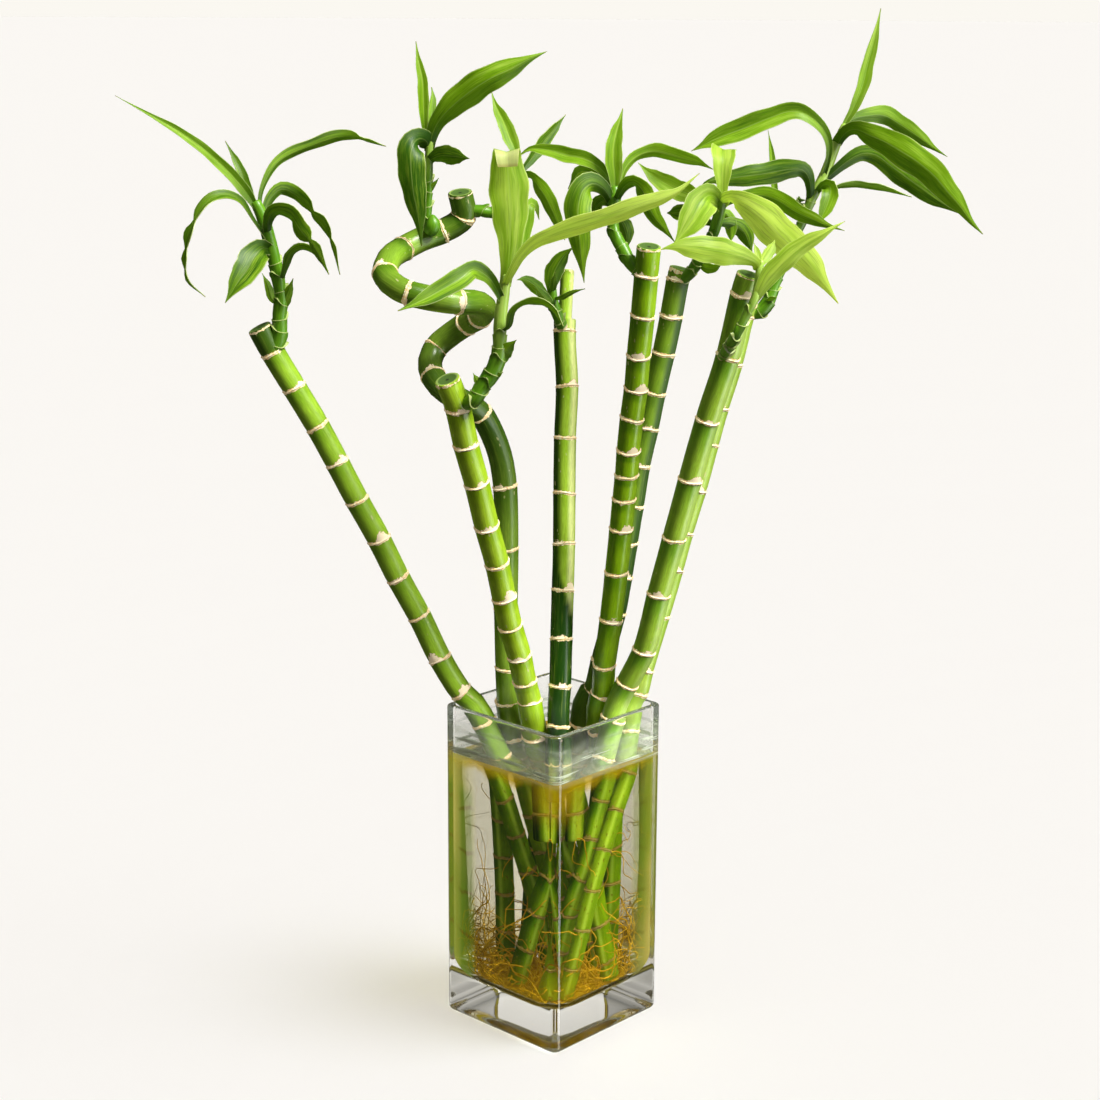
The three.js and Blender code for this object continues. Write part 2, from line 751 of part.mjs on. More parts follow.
        rib: [[717, 221, -19], [726, 213, -15], [730.5, 225, -12], [731, 243, -11]],
        wide: 6, roll: 10, belly: 0.6,
      },
      back_right: {
        rib: [[716.5, 223, -19], [733, 224, -12], [744, 232, -9], [752, 252, -7]],
        wide: 8, roll: 10, belly: 0.6,
      },
      back_left: {
        rib: [[716, 225, -19], [700, 219, -9], [685, 213, -1], [667, 213, 6]],
        wide: 8, roll: 10, belly: 0.7,
      },
      low_right: {
        rib: [[698, 263, -8], [707, 268, -11], [714, 268, -13], [722, 264, -15]],
        wide: 5, roll: 10, belly: 0.4,
      },
    },
  },
  shoot_g: {
    stalk: 'g',
    depth: -58,
    stemPx: [
      [723, 357, 14, 2.6], [730, 345.5, 6, 2.8], [736, 335, -1, 2.2], [742, 324, -2, 2],
      [748, 312, -2, 1.9], [755, 298, -2, 1.9], [758, 283, -1, 1.7], [759.5, 270, 0, 1.7],
      [762, 260, 1, 1.2],
    ],
    leaves: {
      right: {
        rib: [
          [750, 308, -2], [756.5, 298.4, -3], [766.7, 280.5, -5], [777, 269, -6],
          [788.4, 257.6, -7], [804, 245, -7], [820.3, 236, -7], [833, 228, -6], [845.2, 221.2, -4],
        ],
        wide: 9.3, roll: 8, belly: 0.38,
      },
      left: {
        rib: [
          [759, 271, 0], [757, 264, -3], [748, 258.5, -6], [735, 254.5, -9], [715, 250.5, -12],
          [695, 248, -14], [680, 246.5, -15], [668, 247.5, -15], [660.4, 249.8, -15],
        ],
        wide: 12, roll: 4, belly: 0.5,
      },
      small: {
        rib: [[760, 267, 0], [765, 258, 4], [771, 249, 7], [775, 240, 10]],
        wide: 5, roll: 10, belly: 0.5,
      },
      narrow: {
        rib: [[760.5, 264, 1], [757, 252, 4], [754, 243, 6]],
        wide: 3, roll: 15, belly: 0.4,
      },
    },
  },
  shoot_h: {
    stalk: 'h',
    depth: 5,
    stemPx: [
      [750, 314, 0, 2.8], [760, 311, 0, 3.6], [768, 303, 0, 3.2], [774, 288, 2, 2.3],
      [782, 268, 5, 2.2], [792, 245, 8, 2.1], [802, 222, 11, 2.1], [810, 203, 13, 2.2],
      [818, 187, 15, 2.3], [826, 171, 17, 2.4], [835, 147, 19, 2.4], [845, 124, 21, 1.5],
    ],
    leaves: {
      spindle: {
        rib: [
          [840, 137, 20], [846, 122, 21], [852, 111.8, 21], [858, 98, 21], [863.4, 82.7, 22],
          [867.3, 65.8, 23], [871.9, 49, 24], [876.4, 30.6, 25], [881, 8.4, 27],
        ],
        wide: 6, roll: 12, belly: 0.45,
      },
      right_high: {
        rib: [
          [842, 132, 20], [852, 120, 24], [865.7, 116, 28], [884, 115.5, 32], [900.9, 125, 35],
          [917.8, 136.3, 37], [933, 147.7, 39], [947.6, 156.9, 40],
        ],
        wide: 9, roll: 18, belly: 0.45,
      },
      right_broad: {
        rib: [
          [836, 147, 19], [841, 138, 15], [847, 131.5, 12], [856, 129, 9], [868.8, 134.7, 6],
          [885.6, 142, 3], [900.9, 151, 1], [917.8, 162, -1], [934.6, 176, -3], [948.4, 192.9, -4],
          [960.7, 206.7, -5], [971.4, 222, -5], [982.8, 234.2, -6],
        ],
        wide: 14, roll: 5, belly: 0.45,
      },
      right_dark: {
        rib: [
          [820, 184, 15], [830.5, 175, 15], [845.8, 162.3, 16], [862.7, 153.5, 17], [876, 155, 18],
          [890, 165.3, 18], [907, 177.6, 17], [923.9, 189.8, 16], [940.7, 202, 15],
          [961.4, 214.3, 14],
        ],
        wide: 11, roll: 8, belly: 0.6,
      },
      right_narrow: {
        rib: [
          [817, 190, 15], [832, 189.3, 20], [841, 186, 23], [856.5, 185.2, 26], [871.9, 186.8, 29],
          [887, 189.8, 31], [911.7, 196.7, 34],
        ],
        wide: 5, roll: 48, belly: 0.5,
      },
      low: {
        rib: [
          [815.5, 192, 14], [825, 184.5, 9], [830.5, 187, 6], [829, 199, 3], [823, 214, 1],
          [817, 226, 0],
        ],
        wide: 8, roll: 5, belly: 0.5,
      },
      left_high: {
        rib: [
          [822, 180, 16], [827.5, 160.7, 13], [829, 145.4, 11], [824.4, 131.7, 9],
          [813.7, 119.4, 7], [800, 112, 6], [787, 112, 6], [770, 118, 6], [750, 126, 6],
          [730, 133.5, 6], [712, 141, 6], [691, 151.3, 6],
        ],
        wide: 10.5, roll: 15, belly: 0.74, neck: 0.22,
      },
      left_dark: {
        rib: [
          [810.5, 202, 13], [811, 190, 9], [809, 178, 6], [803, 170, 3], [792, 169, 1],
          [778, 171, 0], [762, 174, -1], [745, 176, -2], [728, 178.5, -3], [712, 180.5, -4],
          [704, 184, -4], [698.2, 190.6, -4],
        ],
        wide: 10.5, roll: 8, belly: 0.5,
      },
      back_thin: {
        rib: [
          [806, 212, 12], [795, 212, 17], [783, 205, 21], [776, 194, 23], [773, 175, 24],
          [771.8, 155.5, 25], [768, 130, 26],
        ],
        wide: 3.4, roll: 10, belly: 0.6,
      },
      back_left: {
        rib: [[809, 205, 13], [804, 208, 18], [800, 206, 24], [799, 196, 31]],
        wide: 8, roll: 5, belly: 0.6,
      },
      bud_leaf: {
        rib: [[768, 305, 0], [771, 299, -4], [777, 297, -6]],
        wide: 3.4, roll: 10, belly: 0.4,
      },
    },
  },
};

// Half the width of a blade at a share of its length: a narrow clasping base, a belly,
// and a long drawn-out tip
function bladeShape(share, belly, neck) {
  if (share < belly) {
    const rise = Math.sin((share / belly) * 90 * DEG) ** 2;
    return neck + (1 - neck) * rise;
  }
  return Math.cos(((share - belly) / (1 - belly)) * 90 * DEG) ** 0.85;
}

// One leaf: a thin blade with its two halves folded up from the rib. Both faces are split
// into triangles the same way.
function bladeGeometry({ rib, wide, roll, belly, neck = 0.35 }, shootDepth) {
  const points = rib.map((place) => seen(place, shootDepth));
  const curve = new THREE.CatmullRomCurve3(points, false, 'centripetal');
  const length = curve.getLength();
  const count = THREE.MathUtils.clamp(Math.round(length / 12), 4, 8);
  const least = 0.6;
  let across = new THREE.Vector3();
  const frames = Array.from({ length: count + 1 }, (_, index) => {
    const share = index / count;
    const along = curve.getTangentAt(share);
    const facing = along.clone().cross(viewAxis);
    const turned = facing.length() > 0.5;
    facing.normalize().applyAxisAngle(along, roll * DEG);
    if (index === 0) across = facing.clone();
    across = across.clone().addScaledVector(along, -across.dot(along)).normalize();
    if (turned) across.lerp(facing, 0.8).normalize();
    return { share, centre: curve.getPointAt(share), across, face: along.clone().cross(across) };
  });
  const upward = frames.reduce((sum, { face }) => sum + face.z, 0) < 0 ? -1 : 1;
  const rings = frames.map(({ share, centre, across: sideways, face }) => {
    const half = Math.max(least, (wide / 2) * bladeShape(share, belly, neck));
    const thick = (BLADE_THICKNESS / 2) * (share === 1 ? 0.5 : 1);
    const corner = (side, lift, skin) => centre.clone()
      .addScaledVector(sideways, side * half)
      .addScaledVector(face, lift * upward * half * BLADE_FOLD + skin * thick);
    return [
      corner(-1, 1, 1), corner(-1, 1, -1), corner(0, 0, -1),
      corner(1, 1, -1), corner(1, 1, 1), corner(0, 0, 1),
    ];
  });
  return loft(rings, (side) => side === 4 || side === 5);
}

function stemGeometry(places, shootDepth, sides = SHOOT_SIDES) {
  const points = places.map(([px, py, offset]) => seen([px, py, offset], shootDepth));
  const curve = new THREE.CatmullRomCurve3(points, false, 'centripetal');
  const stations = places.map((place, index) => [shareNear(curve, points[index]), place[3]]);
  return tubeGeometry(curve, stations, sides);
}

function shootSolid({ stalk, depth, stemPx, knob, leaves }) {
  const parts = [solidOf(stemGeometry(stemPx, depth))];
  if (knob) parts.push(solidOf(stemGeometry(knob, depth)));
  Object.values(leaves).forEach((leaf) => parts.push(solidOf(bladeGeometry(leaf, depth))));
  return mainBody(fused(parts).subtract(solidOf(stalkGeometry(stalk, CLEARANCE + 0.1))));
}

// The water and the roots

const stalkNames = Object.keys(STALKS);

function waterSolid() {
  const heights = [ROOT_ZONE_TOP, WATER_LEVEL];
  const pool = solidOf(loft(heights.map((z) => cavityRing(z, CLEARANCE))));
  const holes = stalkNames.map((name) => solidOf(holeGeometry(name, HOLE_MARGIN)));
  return mainBody(pool.subtract(fused(holes)));
}

// A repeatable stream of numbers from 0 to 1
function seededNumbers(seed) {
  let state = seed;
  return () => {
    state = (state * 1664525 + 1013904223) % 4294967296;
    return state / 4294967296;
  };
}

const ROOT_SEED = 7;
const ROOT_COUNT = 16;
const ROOT_RADIUS = 0.9;
const ROOT_SIDES = 4;

// A mat on the vase's floor, with roots that arch out of it and back
function rootSolid() {
  const random = seededNumbers(ROOT_SEED);
  const matTop = BASE_THICKNESS + 4;
  const matBottom = BASE_THICKNESS + CLEARANCE;
  const mat = solidOf(loft([
    roundedSquare(22, 12, matBottom),
    roundedSquare(27.5, 11, BASE_THICKNESS + 2.2),
    roundedSquare(26, 11, matTop),
  ]));
  const roots = Array.from({ length: ROOT_COUNT }, () => {
    const heading = random() * Math.PI * 2;
    const start = 6 + random() * 17;
    const sweep = (0.5 + random()) * (random() < 0.5 ? -1 : 1);
    const rise = 5 + random() * 7;
    const end = 8 + random() * 16;
    const points = Array.from({ length: 5 }, (_, index) => {
      const share = index / 4;
      const radius = start + (end - start) * share;
      const angle = heading + sweep * share;
      const height = matTop - 1.5 + rise * Math.sin(share * Math.PI);
      return new THREE.Vector3(radius * Math.cos(angle), radius * Math.sin(angle), height);
    });
    const curve = new THREE.CatmullRomCurve3(points, false, 'centripetal');
    const stations = [0, 0.2, 0.4, 0.6, 0.8, 1].map((share) => [share, ROOT_RADIUS]);
    return solidOf(tubeGeometry(curve, stations, ROOT_SIDES));
  });
  const feet = stalkNames.map((name) => solidOf(holeGeometry(name, CLEARANCE)));
  return mainBody(fused([mat, ...roots]).subtract(fused(feet)));
}

// Materials and the assembly

function material(color, roughness, metalness = 0) {
  return new THREE.MeshStandardMaterial({ color, roughness, metalness });
}

const group = new THREE.Group();

function place(name, geometry, finish) {
  const mesh = new THREE.Mesh(geometry, finish);
  mesh.name = name;
  group.add(mesh);
}

const glass = material('#dfe6e4', 0.05);
glass.transparent = true;
glass.opacity = 0.35;
const water = material('#b9b98a', 0.1);
water.transparent = true;
water.opacity = 0.5;

place('vase', vaseGeometry(), glass);
place('water', geometryOf(waterSolid()), water);
place('roots', geometryOf(rootSolid()), material('#a9741f', 0.8));
stalkNames.forEach((name) => {
  const finish = material(name === 'd' ? '#3f7d1c' : '#5f9a24', 0.35);
  place(`stalk_${name}`, stalkGeometry(name), finish);
});
Object.entries(SHOOTS).forEach(([name, shoot]) => {
  place(name, geometryOf(shootSolid(shoot)), material('#6fa52a', 0.45));
});

export default group;
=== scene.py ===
# %% [markdown]
# Lucky bamboo: eight cut stalks with leafy shoots, one of them trained into a curl, in a
# square glass vase of water with brown roots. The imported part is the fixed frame. It has the
# right places and sizes but plain faceted solids, so a finer piece stands for each solid.
# Another way is to keep the solids and only smooth them, which would lose the leaf scars,
# the clasping leaf bases and the fine roots that make the plant look real.

# %% Frame
import bisect
import math
import random

import bmesh
import bpy
from mathutils import Matrix, Vector, noise


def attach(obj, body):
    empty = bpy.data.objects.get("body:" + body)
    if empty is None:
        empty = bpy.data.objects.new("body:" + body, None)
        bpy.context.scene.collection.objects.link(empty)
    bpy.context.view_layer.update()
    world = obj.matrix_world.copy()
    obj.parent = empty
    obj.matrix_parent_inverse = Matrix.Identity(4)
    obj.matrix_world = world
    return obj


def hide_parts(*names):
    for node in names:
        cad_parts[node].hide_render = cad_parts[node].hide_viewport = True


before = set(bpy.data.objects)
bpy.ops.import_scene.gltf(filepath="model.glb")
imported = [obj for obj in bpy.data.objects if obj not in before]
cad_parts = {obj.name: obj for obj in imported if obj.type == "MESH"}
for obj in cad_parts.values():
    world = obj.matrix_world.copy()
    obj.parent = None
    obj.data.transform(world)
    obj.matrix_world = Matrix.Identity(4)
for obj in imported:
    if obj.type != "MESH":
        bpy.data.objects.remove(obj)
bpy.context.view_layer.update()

MM = 0.001


def placed(name, data):
    """A new object in the scene, at the origin."""
    made = bpy.data.objects.new(name, data)
    bpy.context.scene.collection.objects.link(made)
    return made


def group(name, *members):
    """A collection, for the lamps to name what they light and what shades it."""
    made = bpy.data.collections.new(name)
    for member in members:
        made.objects.link(member)
    return made


# %% [markdown]
# The photograph was taken from a little above, with one corner of the vase towards the
# camera. These few numbers are that camera: its distance from the point it aims at, its
# focal length in picture widths, its tilt and the vase's turn. They also give the sight line
# of any point of the picture, which is how the stalks and leaves were traced: a picture point
# and a depth behind the vase's middle make one point in space. Fitting by eye in the
# viewport would work too, but every later change would have to be matched again.

# %% Camera and sight lines
PICTURE = 1100
FOCAL = 2201
DISTANCE = 1054
TILT = math.radians(14.03)
ROLL = math.radians(0.30)
TURN = Matrix.Rotation(math.radians(-1.64), 3, "Z")
AIM = Vector((-2, 0, 238))

forward = Vector((0, math.cos(TILT), -math.sin(TILT)))
upward = Vector((0, math.sin(TILT), math.cos(TILT)))
sideways = Vector((1, 0, 0))
picture_right = sideways * math.cos(ROLL) + upward * math.sin(ROLL)
picture_up = upward * math.cos(ROLL) - sideways * math.sin(ROLL)
eye = AIM - forward * DISTANCE
view_axis = TURN @ Vector((0, 1, 0))


def seen(px, py, depth):
    """The point that the photograph shows at a pixel, at a depth in mm behind the middle."""
    across = (px - PICTURE / 2) / FOCAL
    above = (PICTURE / 2 - py) / FOCAL
    ray = forward + picture_right * across + picture_up * above
    return TURN @ (eye + ray * ((depth - eye.y) / ray.y))


camera = placed("camera", bpy.data.cameras.new("camera"))
camera.data.sensor_width = 36
camera.data.lens = 36 * FOCAL / PICTURE
turned_axes = [TURN @ axis for axis in (picture_right, picture_up, -forward)]
camera.matrix_world = Matrix.Translation(TURN @ eye * MM) @ Matrix(turned_axes).transposed().to_4x4()
camera.data.clip_start = 0.05
bpy.context.scene.camera = camera
print("camera at", [round(value, 3) for value in camera.location])

# %% [markdown]
# Every long round thing here (stalk, stem, root) is a tube along a curve, and so are the vase
# and the water, with a rounded square in place of the circle. Each tube starts as a flat
# grid. One side of the grid is wrapped round, its two edges are welded, and the open ends are
# filled. That is one operator call for the faces and leaves every ring free to swell or tilt.
# Bevelled curve objects are quicker to draw, but can't carry a sharp leaf scar or a tilted lip.

# %% Curves and tubes
class Path:
    """A smooth curve through points, walked by its length in mm."""

    def __init__(self, points, steps=14):
        ends = [points[0] * 2 - points[1], *points, points[-1] * 2 - points[-2]]
        self.steps = steps
        self.pieces = []
        for before, start, end, after in zip(ends, ends[1:], ends[2:], ends[3:]):
            gaps = [(start - before).length, (end - start).length, (after - end).length]
            first, middle, last = [math.sqrt(gap) for gap in gaps]
            leave = (start - before) / first - (end - before) / (first + middle)
            leave = (leave + (end - start) / middle) * middle
            arrive = (after - end) / last - (after - start) / (middle + last)
            arrive = (arrive + (end - start) / middle) * middle
            self.pieces.append((start, leave, end, arrive))
        self.marks = [0.0]
        previous = points[0]
        for index in range(1, len(self.pieces) * steps + 1):
            here = self.place(index / steps)[0]
            self.marks.append(self.marks[-1] + (here - previous).length)
            previous = here
        self.length = self.marks[-1]

    def place(self, number):
        """Point and direction at a piece number with its fraction."""
        index = min(int(number), len(self.pieces) - 1)
        t = number - index
        start, leave, end, arrive = self.pieces[index]
        cube = 2 * (start - end) + leave + arrive
        square = 3 * (end - start) - 2 * leave - arrive
        point = ((cube * t + square) * t + leave) * t + start
        return point, ((3 * cube * t + 2 * square) * t + leave).normalized()

    def at(self, length):
        """Point and direction at a length along the curve. Past an end it runs on straight."""
        inside = min(max(length, 0.0), self.length)
        mark = min(max(bisect.bisect_right(self.marks, inside), 1), len(self.marks) - 1)
        low, high = self.marks[mark - 1], self.marks[mark]
        share = (inside - low) / max(high - low, 1e-9)
        point, along = self.place((mark - 1 + share) / self.steps)
        return point + along * (length - inside), along

    def nearest(self, point):
        """The length along the curve that lies nearest to a point."""
        samples = [index / 600 * self.length for index in range(601)]
        return min(samples, key=lambda length: (self.at(length)[0] - point).length_squared)


def flat(angle):
    """The level direction at an angle from X."""
    return Vector((math.cos(angle), math.sin(angle), 0))


def frames(path, lengths, start=Vector((1, 0, 0))):
    """Centre, two side directions and the direction at each length, without twist."""
    across = start
    found = []
    for length in lengths:
        centre, along = path.at(length)
        across = (across - along * across.dot(along)).normalized()
        found.append((centre, across, along.cross(across), along))
    return found


def wrapped_grid(bm, columns, rows, spot):
    """A grid wrapped into a tube. spot(row, column, vertex) returns a vertex's place."""
    made = bmesh.ops.create_grid(bm, x_segments=columns, y_segments=rows - 1, size=1)["verts"]
    for vertex in made:
        column = round((vertex.co.x + 1) / 2 * columns) % columns
        row = round((vertex.co.y + 1) / 2 * (rows - 1))
        vertex.co = spot(row, column, vertex)
    bmesh.ops.remove_doubles(bm, verts=made, dist=1e-4)


def fill_ends(bm):
    """Closes every open end with one flat face, and returns those faces."""
    open_edges = [edge for edge in bm.edges if edge.is_boundary]
    return bmesh.ops.holes_fill(bm, edges=open_edges, sides=0)["faces"]


def stacked(rings):
    """A closed mesh from a stack of rings of points."""
    bm = bmesh.new()
    wrapped_grid(bm, len(rings[0]), len(rings), lambda row, column, vertex: rings[row][column])
    fill_ends(bm)
    return bm


def layer(bm, name, kind="float_vector"):
    """The values of a mesh's points under a name, made at their first use."""
    layers = getattr(bm.verts.layers, kind)
    return layers.get(name) or layers.new(name)


def finished(name, bm, materials, node, sharp=40):
    """Turns the mesh's faces outward, scales it to metres and puts it in place of a node."""
    bmesh.ops.recalc_face_normals(bm, faces=bm.faces)
    bmesh.ops.scale(bm, vec=(MM, MM, MM), verts=bm.verts)
    mesh = bpy.data.meshes.new(name)
    bm.to_mesh(mesh)
    bm.free()
    for material in materials:
        mesh.materials.append(material)
    mesh.shade_smooth()
    mesh.set_sharp_from_angle(angle=math.radians(sharp))
    made = placed(name, mesh)
    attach(made, "root")
    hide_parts(node)
    print(name, "has", len(mesh.polygons), "faces")
    return made


# %% [markdown]
# Colours are written as they look on a screen and turned into the linear values that the
# shaders need. One small function adds a node to the material made last, and fills its
# sockets from plain values, colours or other nodes' outputs. A table gives each kind of node
# a short word, so that each material below reads like a recipe. Wiring the nodes by hand in
# the editor gives the same trees, but they couldn't be read or changed as text.

# %% Material helpers
def colour(text):
    """A screen colour such as #7db52a as linear red, green, blue and alpha."""
    parts = [int(text[start:start + 2], 16) / 255 for start in (1, 3, 5)]
    linear = [part / 12.92 if part <= 0.04045 else ((part + 0.055) / 1.055) ** 2.4 for part in parts]
    return (*linear, 1.0)


def emptied(owner):
    """Makes a material or world the one that add() works on, without any nodes yet."""
    global tree
    owner.use_nodes = True
    tree = owner.node_tree
    tree.nodes.clear()
    return owner


def new_material(name):
    return emptied(bpy.data.materials.new(name))


# For each kind of node: Blender's name, the sockets that its values go to, in order, the
# output that is used, or None for all of them, and its settings
KINDS = {
    "blend": ("Mix", (0, 6, 7), 2, {"data_type": "RGBA"}),
    "ramp": ("MapRange", (0, 1, 2, 3, 4), 0, {"interpolation_type": "SMOOTHSTEP"}),
    "noise": ("TexNoise", ("Vector", "Scale", "Detail", "Roughness"), "Fac", {}),
    "stretch": ("VectorMath", (0, 1), 0, {"operation": "MULTIPLY"}),
    "length": ("VectorMath", (0,), "Value", {"operation": "LENGTH"}),
    "split": ("SeparateXYZ", (0,), None, {}),
    "join": ("CombineXYZ", (0, 1, 2), 0, {}),
    "bump": ("Bump", ("Strength", "Distance", "Height"), 0, {}),
    "attribute": ("Attribute", (), "Fac", {}),
    "vector": ("Attribute", (), "Vector", {}),
    "place": ("TexCoord", (), "Object", {}),
    "heading": ("TexCoord", (), "Generated", {}),
    "normal": ("NewGeometry", (), "Normal", {}),
    "facing": ("LayerWeight", (), "Facing", {}),
    "rays": ("LightPath", (), None, {}),
    "mix": ("MixShader", (0, 1, 2), 0, {}),
    "diffuse": ("BsdfDiffuse", ("Color", "Normal"), 0, {}),
    "emission": ("Emission", ("Color", "Strength"), 0, {}),
    "glass": ("BsdfGlass", ("Color", "Roughness", "IOR"), 0, {}),
    "refraction": ("BsdfRefraction", ("Color", "Roughness", "IOR"), 0, {}),
    "transparent": ("BsdfTransparent", ("Color",), 0, {}),
    "translucent": ("BsdfTranslucent", ("Color",), 0, {}),
    "principled": ("BsdfPrincipled", ("Base Color", "Roughness", "IOR", "Normal", "Emission Color",
                                      "Emission Strength"), 0, {}),
    "absorption": ("VolumeAbsorption", ("Color", "Density"), 0, {}),
    "background": ("Background", ("Color", "Strength"), 0, {}),
    "output": ("OutputMaterial", ("Surface", "Volume"), None, {}),
    "world": ("OutputWorld", ("Surface",), None, {}),
}
for word, operation in (
        ("times", "MULTIPLY"), ("plus", "ADD"), ("minus", "SUBTRACT"), ("most", "MAXIMUM"),
        ("more", "GREATER_THAN"), ("less", "LESS_THAN"), ("absolute", "ABSOLUTE"),
        ("power", "POWER"), ("fold", "PINGPONG")):
    KINDS[word] = ("Math", (0, 1), 0, {"operation": operation})


def add(kind, *values, **settings):
    """Adds a node with its settings and links. A value is a number, a colour or an output."""
    name, sockets, used, usual = KINDS[kind]
    made = tree.nodes.new("ShaderNode" + name)
    for key, value in {**usual, **settings}.items():
        setattr(made, key, value)
    for key, value in zip(sockets, values):
        if isinstance(value, bpy.types.NodeSocket):
            tree.links.new(value, made.inputs[key])
        else:
            made.inputs[key].default_value = colour(value) if isinstance(value, str) else value
    return made.outputs if used is None else made.outputs[used]


def within(value, middle, reach):
    """1 where a value is nearer to the middle than the reach, else 0."""
    return add("less", add("absolute", add("minus", value, middle)), reach)


def speckle(place, scale, stretch=(1, 1, 1), detail=3.0, rough=0.55):
    """Noise from 0 to 1. scale counts its blotches per unit, and stretch squeezes each axis."""
    return add("noise", add("stretch", place, stretch), scale, detail, rough)

# %% [markdown]
# The photograph is nearly white, with only a soft shadow to the left of the vase, while the
# left sides of the stalks are dark. So the paper floor runs on to the horizon and half glows
# by itself. A sun of its own draws the shadow, which only the vase and the water cast, as the
# thin stalks leave none. The plant has a key sun at the front right, a weak broad one
# overhead, and a tall lamp at the right for the long gleam on each stalk. Bounced rays, and
# those that the inner face of the glass mirrors, meet black or nearly black, as if black
# flags stood round the table. A bright tent all round would wash out the greens and make the
# glass look milky.

# %% Floor, light and surround
# The depth at which a ray runs between the inner faces of the glass, give or take 1
BETWEEN_WALLS = 3.5

paper = new_material("studio_paper")
# Warm white matt paper
rays = add("rays")
inner = within(rays["Transmission Depth"], BETWEEN_WALLS, 1.0)
mirrored = add("times", inner, add("more", rays["Glossy Depth"], 0.5))
flagged = add("most", add("more", rays["Diffuse Depth"], 0.5), mirrored)
sheet = add("mix", 0.5, add("diffuse", "#f6fbf9"), add("emission", "#f9eeea"))
add("output", add("mix", flagged, sheet, add("emission", "#ffffff", 0.0)))

bm = bmesh.new()
bmesh.ops.create_circle(bm, cap_ends=True, segments=48, radius=60)
bmesh.ops.translate(bm, vec=(0, 0, -0.0003), verts=bm.verts)
floor_mesh = bpy.data.meshes.new("floor")
bm.to_mesh(floor_mesh)
bm.free()
floor_mesh.materials.append(paper)
floor = placed("floor", floor_mesh)
floor.visible_diffuse = floor.visible_glossy = floor.visible_shadow = False

bpy.context.scene.world = emptied(bpy.data.worlds.new("surround"))
rays = add("rays")
heading = add("split", add("heading"))
sharp_ray = rays["Is Singular Ray"]
soft_gleam = add("minus", rays["Is Glossy Ray"], sharp_ray, use_clamp=True)
scattered = add("more", rays["Diffuse Depth"], 0.5)
folded = add("more", rays["Glossy Depth"], 0.5)
dry = add("less", rays["Transmission Depth"], 5.5)
room = add("times", add("ramp", heading["Y"], 0.3, -0.3), add("times", folded, dry))
inner = within(rays["Transmission Depth"], BETWEEN_WALLS, 1.0)
outer = add("less", rays["Transmission Depth"], 0.5)
mirrored = add("times", folded, add("most", outer, inner))
ceiling = add("times", add("ramp", heading["Z"], 0.3, 0.75), 0.6)
unlit = add("most", add("most", add("times", room, 0.88), ceiling), add("times", mirrored, 0.95))
unlit = add("times", unlit, sharp_ray)
dark, dim, bright = [
    add("background", tint, strength)
    for tint, strength in (("#fff6dc", 0.035), ("#fff6d4", 0.115), ("#fbf8f1", 1.0))]
mixed = add("mix", soft_gleam, add("mix", unlit, bright, dark), dark)
add("world", add("mix", scattered, mixed, dim))


def light(name, kind, place, power, target=(0, 0, 0), **settings):
    """A lamp at a place in metres, facing a target."""
    data = bpy.data.lights.new(name, kind)
    data.energy = power
    for key, value in settings.items():
        setattr(data, key, value)
    made = placed(name, data)
    made.location = place
    made.rotation_euler = (Vector(target) - Vector(place)).to_track_quat("-Z", "Y").to_euler()
    return made


key_sun = light("key_sun", "SUN", (1.15, -0.8, 1.55), 6.3, angle=math.radians(24), color=(1, 0.985, 0.95))
top_sun = light("top_sun", "SUN", (0.1, -0.3, 2), 0.75, angle=math.radians(80))
top_sun.visible_glossy = False
floor_sun = light("floor_sun", "SUN", (1.0, -0.3, 1.5), 2.72, angle=math.radians(36))
floor_sun.light_linking.receiver_collection = group("lit_by_floor_sun", floor)
no_floor = group("not_lit_by_key_sun", floor)
no_floor.collection_objects[0].light_linking.link_state = "EXCLUDE"
key_sun.light_linking.receiver_collection = no_floor
gleam = light("gleam_lamp", "AREA", (1.37, -0.61, 0.15), 30, (0, 0, 0.25),
              shape="RECTANGLE", size=0.9, size_y=2.4)
gleam.visible_diffuse = gleam.visible_transmission = False
bpy.context.scene.view_settings.view_transform = "Standard"

# %% [markdown]
# The vase is thick pressed glass: flat walls, rounded upright corners, and a heavy base
# whose inside runs up into the walls in a wide round. The walls are drawn as one outline
# that runs up the outside, over the rim and down the inside, and each step of the outline is
# one rounded square. An extra row of points stands just beside every rounding. It keeps the
# shading of the flat walls flat, which matters because glass shows any false bend. The glass
# is painted grey where it is seen edge on, a painted shade for the dark lines along its edges,
# and dried splashes haze it above the water. A cube with bevelled edges is the other way, but
# its inside corners can't have their own radius.

# %% Vase
VASE_HALF = 37.5
VASE_TOP = 161
WALL = 3
CORNER = 3.5
FLOOR_LEVEL = 17
FLOOR_ROUND = 14
EDGE = 1.2
LIP_EDGE = 0.9
FOOT = 2.2
# A ray that has been mirrored more often than this is taken as caught in the glass, and
# meets a painted glow in place of the light it would carry
TRAPPED = 3.5


def rounded_square(half, corner, z, steps=8):
    """Points round a square with its corners on the X and Y axes."""
    points = []
    for quarter in range(4):
        middle = math.radians(quarter * 90 + 90)
        centre = flat(middle) * (half - corner) * math.sqrt(2)
        for step in range(-1, steps + 2):
            share = min(max(step / steps, 0), 1)
            angle = middle + math.radians(90 * share - 45)
            beyond = 0.6 * ((step > steps) - (step < 0))
            point = centre + flat(angle) * corner
            point += Vector((-math.sin(angle), math.cos(angle), 0)) * beyond
            points.append(point + Vector((0, 0, z)))
    return points


def inner_ring(z, gap=0.0):
    """The inside of the vase at a height, shrunk by a gap."""
    drop = min(max(FLOOR_ROUND - (z - FLOOR_LEVEL - gap), 0), FLOOR_ROUND)
    inset = FLOOR_ROUND - math.sqrt(FLOOR_ROUND ** 2 - drop ** 2)
    return rounded_square(VASE_HALF - WALL - inset - gap, CORNER + inset * 0.8, z)


